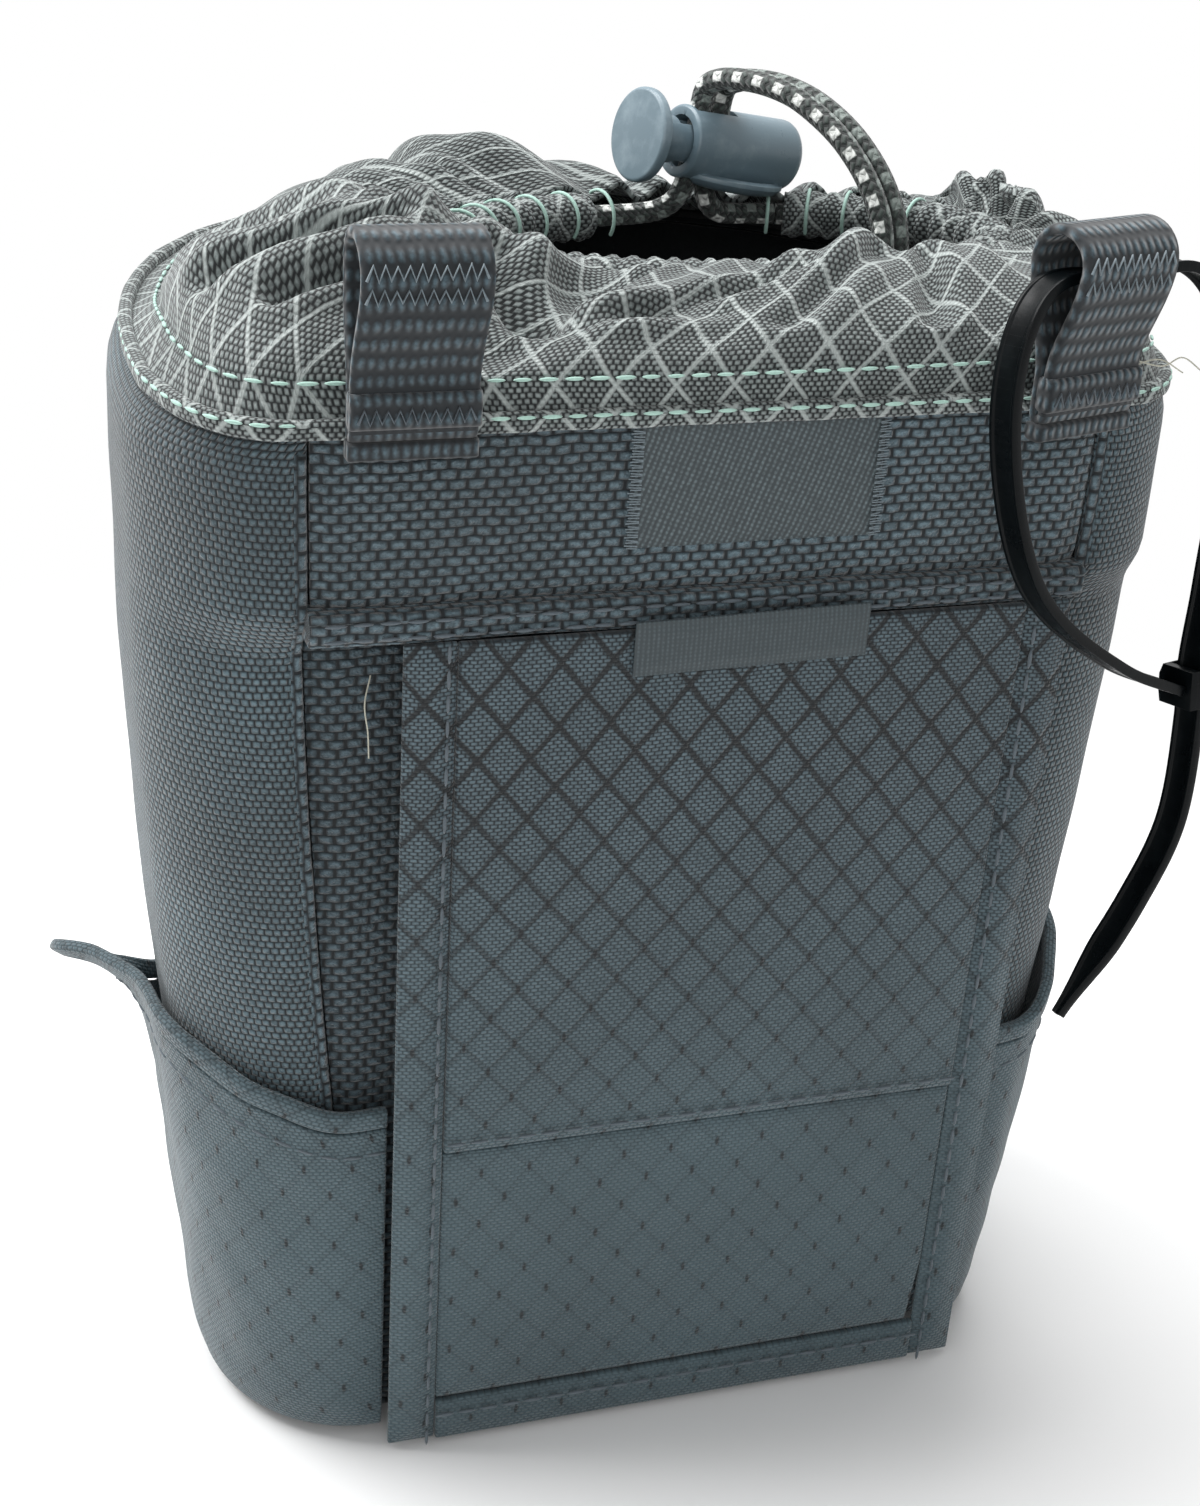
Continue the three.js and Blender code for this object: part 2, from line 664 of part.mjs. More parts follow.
// Gap between the body and the pocket: u runs from the sleeve's edge to the rear seam.
function pocketGap(u, v, flare) {
  const along = mix(POCKET_FRONT_GAP, POCKET_SIDE_GAP, smooth(u / POCKET_CORNER_SHARE));
  return along + flare * pocketSwell(u) * v ** POCKET_FLARE_POWER;
}

function pocketRim(u, rise) {
  return POCKET_RIM_HEIGHT + rise * pocketSwell(u);
}

// Where the pocket starts on the outline: beside the sleeve's edge, on the flat or on the corner.
function pocketStartShare(side, z) {
  const reach = Math.abs(sleeveEdge(side, z)) + POCKET_START_GAP;
  const flat = cornerX(z);
  if (reach < flat) {
    return (CORNER_START_SHARE * reach) / flat;
  }
  const angle = Math.asin(Math.min(1, (reach - flat) / (CORNER_RADIUS + POCKET_FRONT_GAP)));
  return mix(CORNER_START_SHARE, CORNER_END_SHARE, angle / (Math.PI / 2));
}

function pocketPoint(side, u, v, rise, flare, extra) {
  const z = mix(POCKET_BOTTOM, pocketRim(u, rise), v);
  const share = mix(pocketStartShare(side, z), REAR_SEAM_SHARE, u);
  const inset = footInset(z) - pocketGap(u, v, flare) - extra;
  return outlinePoint(side, share, z, inset);
}

function addPockets() {
  const kinds = [
    ['left_pocket', 'left_pocket_hem', -1, POCKET_LEFT_RISE, POCKET_LEFT_FLARE],
    ['right_pocket', 'right_pocket_hem', 1, POCKET_RIGHT_RISE, POCKET_RIGHT_FLARE],
  ];
  for (const [name, hemName, side, rise, flare] of kinds) {
    const face = (extra) => (u, v) => pocketPoint(side, u, v, rise, flare, extra);
    addMesh(name, sheet(face(POCKET_FABRIC), face(0), POCKET_COLUMNS, BODY_ROWS), colours.ripstop);
    addMesh(hemName, pocketHem(side, rise, flare), colours.ripstop);
  }
}

// A folded hem along the pocket's rim, an oval roll that stands on the edge of the fabric.
function pocketHem(side, rise, flare) {
  const middle = (u, v) => pocketPoint(side, clampShare(u), v, rise, flare, POCKET_FABRIC / 2);
  const frames = [];
  for (let i = 0; i <= HEM_STEPS; i += 1) {
    const u = i / HEM_STEPS;
    const at = middle(u, 1);
    const along = middle(u + 1 / HEM_STEPS, 1).sub(middle(u - 1 / HEM_STEPS, 1)).normalize();
    const up = at.clone().sub(middle(u, 1 - 1 / BODY_ROWS));
    up.addScaledVector(along, -up.dot(along)).normalize();
    const across = new THREE.Vector3().crossVectors(along, up).normalize();
    at.addScaledVector(up, POCKET_HEM_HEIGHT / 2 + FIT_GAP);
    frames.push({ at, side: across, up });
  }
  return sweep(frames, ellipseSection(POCKET_HEM_WIDTH / 2, POCKET_HEM_HEIGHT / 2, HEM_SIDES));
}

// Collar

// A point on the mouth's centre line, grown outwards by a length.
function mouthPoint(turn, grow, z) {
  const angle = Math.PI * turn;
  return new THREE.Vector3(
    MOUTH_OFFSET_X + (MOUTH_HALF_WIDTH + grow) * Math.sin(angle),
    MOUTH_OFFSET_Y - (MOUTH_HALF_DEPTH + grow) * Math.cos(angle),
    z,
  );
}

const collarFoot = BODY_HEIGHT + FIT_GAP;

// How far round to the rear a turn is.
function rearShare(turn) {
  return smooth((Math.abs(turn) - COLLAR_REAR_SHARE) / (COLLAR_REAR_END_SHARE - COLLAR_REAR_SHARE));
}

// Height of the rolls above the collar's foot.
function crestRise(turn) {
  let i = 1;
  while (i < COLLAR_TURN_SHARES.length - 1 && turn > COLLAR_TURN_SHARES[i]) {
    i += 1;
  }
  const [start, end] = [COLLAR_TURN_SHARES[i - 1], COLLAR_TURN_SHARES[i]];
  return mix(COLLAR_CREST_RISES[i - 1], COLLAR_CREST_RISES[i], smooth((turn - start) / (end - start)));
}

function hemRise(turn) {
  return mix(COLLAR_HEM_RISE, COLLAR_HEM_REAR_RISE, rearShare(turn));
}

// How far the hem and the collar's foot lean inwards above the body, which is most at the sides.
function collarLean(turn, z) {
  const side = Math.sin(Math.PI * turn) ** 2;
  return COLLAR_HEM_LEAN * side * clampShare((z - BODY_HEIGHT) / hemRise(turn));
}

function collarPoint(u, v, depth) {
  const turn = 2 * u - 1;
  const climb = Math.sin((Math.PI / 2) * Math.min(1, v / COLLAR_CREST_SHARE));
  const crest = crestRise(turn) * climb ** mix(1, COLLAR_REAR_POWER, rearShare(turn));
  const rise = mix(crest, COLLAR_RIM_RISE, smooth((v - COLLAR_CREST_SHARE) / (1 - COLLAR_CREST_SHARE)));
  const fold = GATHER_DEPTH * Math.sin(Math.PI * v) * Math.cos(GATHER_COUNT * Math.PI * turn);
  const z = collarFoot + rise + fold;
  const foot = ringPoint(u, BODY_HEIGHT, depth * (1 - v) + collarLean(turn, z));
  const rim = mouthPoint(turn, CHANNEL_RADIUS + FIT_GAP, channelHeight);
  const point = foot.lerp(rim, v ** COLLAR_SLOPE_POWER);
  point.z = z - depth * Math.min(1, v / COLLAR_EDGE_SHARE);
  return point;
}

function addCollar() {
  const outer = (u, v) => collarPoint(u, v, 0);
  const inner = (u, v) => collarPoint(u, v, COLLAR_THICKNESS);
  addMesh('collar', sheet(outer, inner, COLLAR_COLUMNS, COLLAR_ROWS, true), colours.collar);
  const hem = (inset) => (u, v) => {
    const turn = 2 * u - 1;
    const above = BODY_HEIGHT + hemRise(turn) * clampShare(2 * v - 1);
    const z = above - COLLAR_HEM_DROP * clampShare(1 - 2 * v);
    return ringPoint(u, z, inset + collarLean(turn, z));
  };
  const ring = sheet(hem(-FIT_GAP - COLLAR_HEM_THICKNESS), hem(-FIT_GAP), COLLAR_COLUMNS, 2, true);
  addMesh('collar_hem', ring, colours.collar);
}

// Frames round the mouth, from one end of the channel's exit to the other.
function mouthFrames(exitWidth) {
  const exitTurn = exitWidth / 2 / (Math.PI * MOUTH_HALF_WIDTH);
  const frames = [];
  for (let i = 0; i <= RING_COLUMNS; i += 1) {
    const turn = mix(-1 + exitTurn, 1 - exitTurn, i / RING_COLUMNS);
    const at = mouthPoint(turn, 0, channelHeight);
    const side = mouthPoint(turn, 1, channelHeight).sub(at).normalize();
    frames.push({ at, side, up: new THREE.Vector3(0, 0, 1) });
  }
  return frames;
}

// The hem of the collar is folded round the cord, with a slit low on its outside, where it is sewn.
function channelSection() {
  const slit = radians(CHANNEL_SLIT_DEGREES);
  const start = -Math.PI / 2 + slit / 2;
  const arc = (radius, reverse) => Array.from({ length: CHANNEL_SIDES + 1 }, (_, i) => {
    const share = reverse ? 1 - i / CHANNEL_SIDES : i / CHANNEL_SIDES;
    const angle = start + (2 * Math.PI - slit) * share;
    return [radius * Math.cos(angle), radius * Math.sin(angle)];
  });
  return [...arc(CHANNEL_RADIUS, false), ...arc(CHANNEL_RADIUS - CHANNEL_FABRIC, true)];
}

function addChannel() {
  addMesh('cord_channel', sweep(mouthFrames(CHANNEL_EXIT_WIDTH), channelSection()), colours.collar);
}

// Drawcord

// The route of the cord's two strands above the channel, chosen by hand: out of the channel behind the
// mouth, up through the cord lock, over in an arch and down into the mouth.
const STRAND_LEFT = [
  [1.6, 8.0, 133.8], [4.2, 8.4, 133.8], [7.2, 8.6, 133.9], [9.7, 8.2, 134.4],
  [11.4, 7.3, 135.8], [12.3, 6.8, 138.0], [12.8, 6.9, 140.5], [13.4, 7.0, 144.0],
  [14.1, 7.2, 148.6], [15.0, 5.0, 150.2], [16.6, 1.7, 150.8], [18.4, -1.5, 150.8],
  [20.4, -4.7, 150.1], [22.3, -7.7, 148.6], [24.1, -10.4, 146.6], [25.7, -12.7, 144.0],
  [26.8, -14.4, 141.4], [27.6, -15.6, 138.6], [28.0, -16.2, 135.2], [28.2, -16.3, 131.0],
  [28.2, -16.2, 126.5], [28.1, -15.9, 122.0], [28.0, -15.7, 117.5], [28.0, -15.6, 114.0],
];
const STRAND_RIGHT = [
  [24.4, 8.0, 133.8], [21.9, 8.4, 133.8], [19.4, 8.5, 133.8], [17.4, 8.2, 134.1],
  [15.8, 7.8, 135.4], [15.1, 7.5, 137.6], [15.5, 7.6, 140.5], [16.1, 7.7, 144.0],
  [16.9, 7.9, 148.4], [17.8, 5.8, 149.9], [19.2, 2.9, 150.5], [20.9, -0.1, 150.5],
  [22.9, -3.3, 149.8], [24.8, -6.3, 148.4], [26.6, -9.0, 146.4], [28.2, -11.3, 143.8],
  [29.3, -13.0, 141.2], [30.1, -14.2, 138.4], [30.5, -14.8, 135.0], [30.7, -14.9, 131.0],
  [30.7, -14.8, 126.5], [30.6, -14.5, 122.0], [30.5, -14.3, 117.5], [30.5, -14.2, 114.0],
];

const cordRadius = CORD_DIAMETER / 2;

function shapeOf(corners) {
  return new THREE.Shape(corners.map(([x, y]) => new THREE.Vector2(x, y)));
}

function cordTube(points) {
  const curve = new THREE.CatmullRomCurve3(points.map((p) => new THREE.Vector3(...p)), false, 'centripetal');
  const section = shapeOf(ellipseSection(cordRadius, cordRadius, CORD_SIDES));
  return new THREE.ExtrudeGeometry(section, { steps: CORD_STEPS, extrudePath: curve });
}

function addDrawcord() {
  const frames = mouthFrames(CHANNEL_EXIT_WIDTH - 2 * CORD_EXIT_LENGTH);
  addMesh('drawcord', sweep(frames, ellipseSection(cordRadius, cordRadius, CORD_SIDES)), colours.cord);
  addMesh('drawcord_left_end', cordTube(STRAND_LEFT), colours.cord);
  addMesh('drawcord_right_end', cordTube(STRAND_RIGHT), colours.cord);
  const profile = Array.from({ length: KNOT_ROWS + 1 }, (_, i) => {
    const angle = (Math.PI * i) / KNOT_ROWS;
    const radius = (KNOT_DIAMETER / 2) * Math.sin(angle) ** KNOT_FULLNESS;
    return new THREE.Vector2(radius, -(KNOT_LENGTH / 2) * Math.cos(angle));
  });
  const knot = new THREE.LatheGeometry(profile, KNOT_SIDES);
  knot.rotateX(Math.PI / 2);
  const [leftX, leftY, bottom] = STRAND_LEFT.at(-1);
  const [rightX, rightY] = STRAND_RIGHT.at(-1);
  const placed = addMesh('cord_end_knot', knot, colours.cord);
  placed.position.set((leftX + rightX) / 2, (leftY + rightY) / 2, bottom - KNOT_LENGTH / 2 - FIT_GAP);
}

// Cord lock, along +X in its own group

function cylinderX(radius, x0, x1) {
  const geometry = new THREE.CylinderGeometry(radius, radius, x1 - x0, ROUND_SIDES);
  geometry.rotateZ(Math.PI / 2);
  geometry.translate((x0 + x1) / 2, 0, 0);
  return geometry;
}

function barrelGeometry() {
  const round = LOCK_BARREL_ROUNDING;
  const profile = [
    new THREE.Vector2(0, LOCK_BARREL_START),
    new THREE.Vector2(LOCK_BARREL_RADIUS, LOCK_BARREL_START),
  ];
  for (let i = 0; i <= ROUNDING_STEPS; i += 1) {
    const angle = (Math.PI / 2) * (i / ROUNDING_STEPS);
    profile.push(new THREE.Vector2(
      LOCK_BARREL_RADIUS - round + round * Math.cos(angle),
      LOCK_BARREL_END - round + round * Math.sin(angle),
    ));
  }
  profile.push(new THREE.Vector2(0, LOCK_BARREL_END));
  const geometry = new THREE.LatheGeometry(profile, ROUND_SIDES);
  geometry.rotateZ(-Math.PI / 2);
  return geometry;
}

function flangeGeometry() {
  const shape = shapeOf(ellipseSection(LOCK_FLANGE_HALF_LENGTH, LOCK_FLANGE_HALF_WIDTH, ROUND_SIDES));
  const geometry = new THREE.ExtrudeGeometry(shape, { depth: LOCK_FLANGE_THICKNESS, bevelEnabled: false });
  geometry.translate(LOCK_FLANGE_CENTRE, 0, -LOCK_FLANGE_DROP);
  return geometry;
}

// The way for the cord, straight down through the stem, the barrel and the flange.
function slotCutter(x0, x1) {
  const reach = LOCK_BARREL_RADIUS + LOCK_FLANGE_DROP + CUT_OVERRUN;
  return toSolid(box(x0, x1, -LOCK_SLOT_WIDTH / 2, LOCK_SLOT_WIDTH / 2, -reach, reach));
}

function addCordLock() {
  const group = new THREE.Group();
  group.position.set(LOCK_FACE_X, LOCK_FACE_Y, channelHeight + LOCK_RISE);
  group.rotation.set(0, radians(LOCK_TILT_DEGREES), radians(LOCK_YAW_DEGREES), 'ZYX');
  pouch.add(group);
  const slotStart = LOCK_CORD_PLACE - LOCK_SLOT_LENGTH / 2;
  const slotEnd = LOCK_CORD_PLACE + LOCK_SLOT_LENGTH / 2;
  const bore = cylinderX(LOCK_STEM_RADIUS + FIT_GAP, LOCK_BARREL_START - CUT_OVERRUN, LOCK_BORE_END);
  const barrel = toSolid(barrelGeometry())
    .add(toSolid(flangeGeometry()))
    .subtract(toSolid(bore))
    .subtract(slotCutter(slotStart, slotEnd));
  addMesh('cord_lock_barrel', fromSolid(barrel), colours.plastic, group, 0.45);

  const cupStart = LOCK_STEM_END - LOCK_TRAVEL - SPRING_LENGTH / 2;
  const cup = cylinderX(SPRING_CUP_RADIUS, cupStart, LOCK_STEM_END + CUT_OVERRUN);
  const button = toSolid(cylinderX(LOCK_DISC_RADIUS, 0, LOCK_DISC_THICKNESS))
    .add(toSolid(cylinderX(LOCK_STEM_RADIUS, LOCK_DISC_THICKNESS / 2, LOCK_STEM_END)))
    .subtract(slotCutter(slotStart - LOCK_TRAVEL, slotEnd))
    .subtract(toSolid(cup));
  addMesh('cord_lock_button', fromSolid(button), colours.plastic, group, 0.45);
  addMesh('cord_lock_spring', springGeometry(), colours.steel, group, 0.35, 0.9);
}

// The spring is drawn at its pressed length, against the bottom of the bore.
function springGeometry() {
  const steps = SPRING_TURNS * SPRING_STEPS_PER_TURN;
  const start = LOCK_BORE_END - FIT_GAP - SPRING_WIRE / 2;
  const frames = [];
  for (let i = 0; i <= steps; i += 1) {
    const angle = (2 * Math.PI * SPRING_TURNS * i) / steps;
    const x = start - (SPRING_LENGTH - SPRING_WIRE) * (i / steps);
    const side = new THREE.Vector3(0, Math.cos(angle), Math.sin(angle));
    const at = side.clone().multiplyScalar(SPRING_RADIUS).setX(x);
    frames.push({ at, side, up: new THREE.Vector3(1, 0, 0) });
  }
  return sweep(frames, ellipseSection(SPRING_WIRE / 2, SPRING_WIRE / 2, SPRING_SIDES));
}

// Webbing loops

const hemFace = topBandFace - FIT_GAP - COLLAR_HEM_THICKNESS;
const loopCentreY = hemFace - FIT_GAP - WEBBING_THICKNESS;
const loopEyeDrop = LOOP_EYE_RADIUS + WEBBING_THICKNESS;

// Side view of a loop: two plies that part into an eye at the top. The foot is round about the fold
// on which the loop turns.
function loopShape() {
  const eyeHeight = LOOP_HEIGHT - loopEyeDrop;
  const shape = new THREE.Shape();
  shape.absarc(0, 0, WEBBING_THICKNESS, Math.PI, 2 * Math.PI, false);
  shape.lineTo(WEBBING_THICKNESS, LOOP_STRAIGHT);
  shape.lineTo(loopEyeDrop, eyeHeight);
  shape.absarc(0, eyeHeight, loopEyeDrop, 0, Math.PI, false);
  shape.lineTo(-WEBBING_THICKNESS, LOOP_STRAIGHT);
  shape.closePath();
  const eye = new THREE.Path();
  eye.moveTo(0, eyeHeight - LOOP_EYE_DEPTH);
  eye.lineTo(LOOP_EYE_RADIUS, eyeHeight);
  eye.absarc(0, eyeHeight, LOOP_EYE_RADIUS, 0, Math.PI, false);
  eye.closePath();
  shape.holes.push(eye);
  return shape;
}

function webbingGroup(x, y, turnDegrees) {
  const group = new THREE.Group();
  group.position.set(x, y, 0);
  group.rotation.z = radians(turnDegrees);
  pouch.add(group);
  return group;
}

function addWebbingLoop(side, group) {
  const options = { depth: WEBBING_WIDTH, bevelEnabled: false, curveSegments: EYE_SEGMENTS };
  const loop = new THREE.ExtrudeGeometry(loopShape(), options);
  loop.rotateX(Math.PI / 2);
  loop.rotateZ(Math.PI / 2);
  loop.translate(-WEBBING_WIDTH / 2, 0, loopPivotHeight);
  addMesh(`${side}_webbing_loop`, loop, colours.webbing, group);
  const half = WEBBING_WIDTH / 2;
  const footTop = loopPivotHeight - WEBBING_THICKNESS - FIT_GAP;
  const foot = box(-half, half, -WEBBING_THICKNESS, WEBBING_THICKNESS, loopFootBottom, footTop);
  addMesh(`${side}_webbing_foot`, foot, colours.webbing, group);
}

// Cable tie, flat in its plane: p along the loop's width and q downwards from the eye's middle

// The strap's centre line, from its root at the left of the head, round through the eye, down the right
// side, through the head and on as the tail.
function tieCentreLine() {
  const headTop = TIE_HEAD_DROP - TIE_HEAD_HEIGHT / 2;
  const rootX = TIE_HEAD_PLACE - TIE_HEAD_WIDTH / 2 - FIT_GAP;
  const middle = headTop / 2;
  const leftShoulder = -(WEBBING_WIDTH / 2 + TIE_OFFSET + FIT_GAP);
  const [entryAcross, entryDown] = TIE_ENTRY_SHARES;
  const outline = [
    [rootX, TIE_HEAD_DROP],
    ...TIE_RISE_SHARES.map(([p, q]) => [mix(rootX, -TIE_LEFT_REACH, p), mix(TIE_HEAD_DROP, middle, q)]),
    ...TIE_LEFT_SHARES.map(([p, q]) => [mix(-TIE_LEFT_REACH, leftShoulder, p), middle * q]),
    [leftShoulder, 0],
    [0, 0],
    [TIE_EYE_RUN, 0],
    ...TIE_RIGHT_SHARES.map(([p, q]) => [mix(TIE_RIGHT_REACH, TIE_EYE_RUN, p), middle * q]),
    [mix(TIE_RIGHT_REACH, TIE_HEAD_PLACE, entryAcross), mix(middle, headTop, entryDown)],
    [TIE_HEAD_PLACE, headTop],
    [TIE_HEAD_PLACE, TIE_HEAD_DROP + TIE_HEAD_HEIGHT],
    ...TIE_TAIL_SHARES.map(([p, q]) => [
      TIE_HEAD_PLACE - TIE_TAIL_SWEEP * p,
      TIE_HEAD_DROP + TIE_TAIL_LENGTH * q,
    ]),
  ];
  const points = outline.map(([p, q]) => new THREE.Vector3(p, 0, -q));
  return new THREE.CatmullRomCurve3(points, false, 'centripetal');
}

function addCableTie(group) {
  const hang = new THREE.Group();
  hang.position.set(TIE_OFFSET, 0, loopPivotHeight + LOOP_HEIGHT - loopEyeDrop - TIE_SEAT_DROP);
  hang.rotation.x = radians(-TIE_LEAN_DEGREES);
  group.add(hang);
  const curve = tieCentreLine();
  const frames = [];
  for (let i = 0; i <= TIE_STEPS; i += 1) {
    const at = curve.getPointAt(i / TIE_STEPS);
    const along = curve.getTangentAt(i / TIE_STEPS).setY(0).normalize();
    frames.push({ at, side: new THREE.Vector3(0, 1, 0), up: new THREE.Vector3(-along.z, 0, along.x) });
  }
  const w = TIE_WIDTH / 2;
  const h = TIE_THICKNESS / 2;
  const section = [[-w, -h], [w, -h], [w, h], [-w, h]];
  addMesh('cable_tie_strap', sweep(frames, section), colours.tie, hang, 0.35);
  const head = toSolid(box(
    TIE_HEAD_PLACE - TIE_HEAD_WIDTH / 2,
    TIE_HEAD_PLACE + TIE_HEAD_WIDTH / 2,
    -TIE_HEAD_DEPTH / 2,
    TIE_HEAD_DEPTH / 2,
    -TIE_HEAD_DROP - TIE_HEAD_HEIGHT / 2,
    -TIE_HEAD_DROP + TIE_HEAD_HEIGHT / 2,
  ));
  const slot = toSolid(box(
    TIE_HEAD_PLACE - TIE_THICKNESS / 2 - 2 * FIT_GAP,
    TIE_HEAD_PLACE + TIE_THICKNESS / 2 + 2 * FIT_GAP,
    -TIE_WIDTH / 2 - FIT_GAP,
    TIE_WIDTH / 2 + FIT_GAP,
    -TIE_HEAD_DROP - TIE_HEAD_HEIGHT,
    -TIE_HEAD_DROP + TIE_HEAD_HEIGHT,
  ));
  addMesh('cable_tie_head', fromSolid(head.subtract(slot)), colours.tie, hang, 0.35);
}

addShell();
addWelt();
addPadding();
addLining();
addSleeve();
addSeamStrips();
addLabels();
addPockets();
addCollar();
addChannel();
addDrawcord();
addCordLock();
addWebbingLoop('left', webbingGroup(LEFT_LOOP_X, loopCentreY, 0));
const rightLoop = webbingGroup(RIGHT_LOOP_X, loopCentreY - RIGHT_LOOP_FORWARD, RIGHT_LOOP_TURN_DEGREES);
addWebbingLoop('right', rightLoop);
addCableTie(rightLoop);

export default pouch;
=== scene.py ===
"""Looks of a padded lens pouch with a drawcord collar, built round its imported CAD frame.

Everything is in metres, in the frame of the CAD model: the origin is the middle of the base, +Z is up,
the flat belt side faces -Y and the rounded side faces +Y.
"""

import logging
import math
from collections.abc import Callable, Iterable, Sequence
from dataclasses import dataclass, field
from enum import Enum

import bmesh
import bpy
from bpy.types import ID, Material, Mesh, Node, NodeSocket, NodeTree, Object
from mathutils import Matrix, Vector, noise


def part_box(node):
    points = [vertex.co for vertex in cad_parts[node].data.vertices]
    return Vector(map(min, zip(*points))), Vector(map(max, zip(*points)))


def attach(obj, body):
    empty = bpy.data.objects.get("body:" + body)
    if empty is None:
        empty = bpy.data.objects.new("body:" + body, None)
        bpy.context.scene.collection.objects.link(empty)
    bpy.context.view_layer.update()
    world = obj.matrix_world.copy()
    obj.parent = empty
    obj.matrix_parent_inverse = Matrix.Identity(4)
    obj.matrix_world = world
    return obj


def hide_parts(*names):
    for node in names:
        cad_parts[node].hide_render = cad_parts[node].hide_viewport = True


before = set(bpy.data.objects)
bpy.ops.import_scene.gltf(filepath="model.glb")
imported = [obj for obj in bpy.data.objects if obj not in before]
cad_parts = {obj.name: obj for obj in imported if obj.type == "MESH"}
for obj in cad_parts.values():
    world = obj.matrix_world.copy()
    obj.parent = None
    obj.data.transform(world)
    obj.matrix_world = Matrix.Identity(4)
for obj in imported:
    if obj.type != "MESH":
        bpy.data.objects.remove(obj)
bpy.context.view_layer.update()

logging.basicConfig(level=logging.INFO, format="%(name)s: %(message)s")
log = logging.getLogger("lens_pouch")

Pair = tuple[float, float]
Table = tuple[Pair, ...]
Surface = Callable[[float, float], Vector]
Frame = tuple[Vector, Vector, Vector]
Step = tuple[Frame, Sequence[Pair]]
RIGHT, FRONT, UP = Vector((1, 0, 0)), Vector((0, -1, 0)), Vector((0, 0, 1))


class Body(Enum):
    """Bodies of the CAD model that pieces ride on."""

    POUCH = "pouch"
    LOCK = "cord_lock"
    BUTTON = "lock_button"
    LEFT_LOOP = "left_loop"
    RIGHT_LOOP = "right_loop"
    TIE = "cable_tie"


class Side(Enum):
    """Left and right of the pouch, seen from the belt side."""

    LEFT = -1
    RIGHT = 1

    @property
    def word(self) -> str:
        """The side's name, as the nodes spell it."""
        return self.name.lower()


# Small sums

def mix(a: float, b: float, share: float) -> float:
    """A value between a and b."""
    return a + (b - a) * share


def clamp(value: float) -> float:
    """The value, kept from 0 to 1."""
    return min(1.0, max(0.0, value))


def smooth(value: float) -> float:
    """A soft step from 0 to 1."""
    share = clamp(value)
    return share * share * (3 - 2 * share)


def drift(point: Vector, size: float, seed: float) -> float:
    """Smooth noise from about -1 to 1.

    Args:
        point: Place in metres.
        size: Size of the noise's lumps in metres.
        seed: Picks another pattern of the same kind.

    Returns:
        The noise at that place.
    """
    return noise.noise(point / size + Vector((seed, seed * 1.7, -seed)))


def table_value(table: Sequence[Pair], place: float) -> float:
    """Reads a table of (place, value) pairs along a smooth line through its rows."""
    slopes = [0.0]
    for (start, low), (end, high) in zip(table, table[2:]):
        slopes.append((high - low) / (end - start))
    slopes.append(0.0)
    for k, ((start, low), (end, high)) in enumerate(zip(table, table[1:])):
        if place <= end:
            t, step = clamp((place - start) / (end - start)), end - start
            bend = step * t * (1 - t) * ((1 - t) * slopes[k] - t * slopes[k + 1])
            return mix(low, high, smooth(t)) + bend
    return table[-1][1]


def catmull_rom(points: Sequence[Vector], steps: int) -> list[Vector]:
    """A smooth line through points.

    Args:
        points: The points that the line passes.
        steps: Steps between two neighbouring points.

    Returns:
        The points of the smooth line.
    """
    ends = [points[0] * 2 - points[1], *points, points[-1] * 2 - points[-2]]
    line = []
    for a, b, c, d in zip(ends, ends[1:], ends[2:], ends[3:]):
        for k in range(steps):
            t = k / steps
            line.append(0.5 * (b * 2 + (c - a) * t + (a * 2 - b * 5 + c * 4 - d) * t**2
                               + (b * 3 - a - c * 3 + d) * t**3))
    return [*line, points[-1].copy()]


def length_of(points: Sequence[Vector]) -> float:
    """Length of a line through points."""
    return sum((b - a).length for a, b in zip(points, points[1:]))


def resample(points: Sequence[Vector], count: int) -> list[Vector]:
    """The same line with count equal steps."""
    total = length_of(points)
    out = [points[0].copy()]
    walked, k = 0.0, 1
    for (a, b) in zip(points, points[1:]):
        step = (b - a).length
        while k <= count and walked + step >= total * k / count - 1e-12 and step > 0:
            out.append(a.lerp(b, (total * k / count - walked) / step))
            k += 1
        walked += step
    while len(out) < count + 1:
        out.append(points[-1].copy())
    return out


# Meshes

def from_above(point: Vector) -> Pair:
    """A point's place on cloth that lies flat."""
    return point.x, point.y


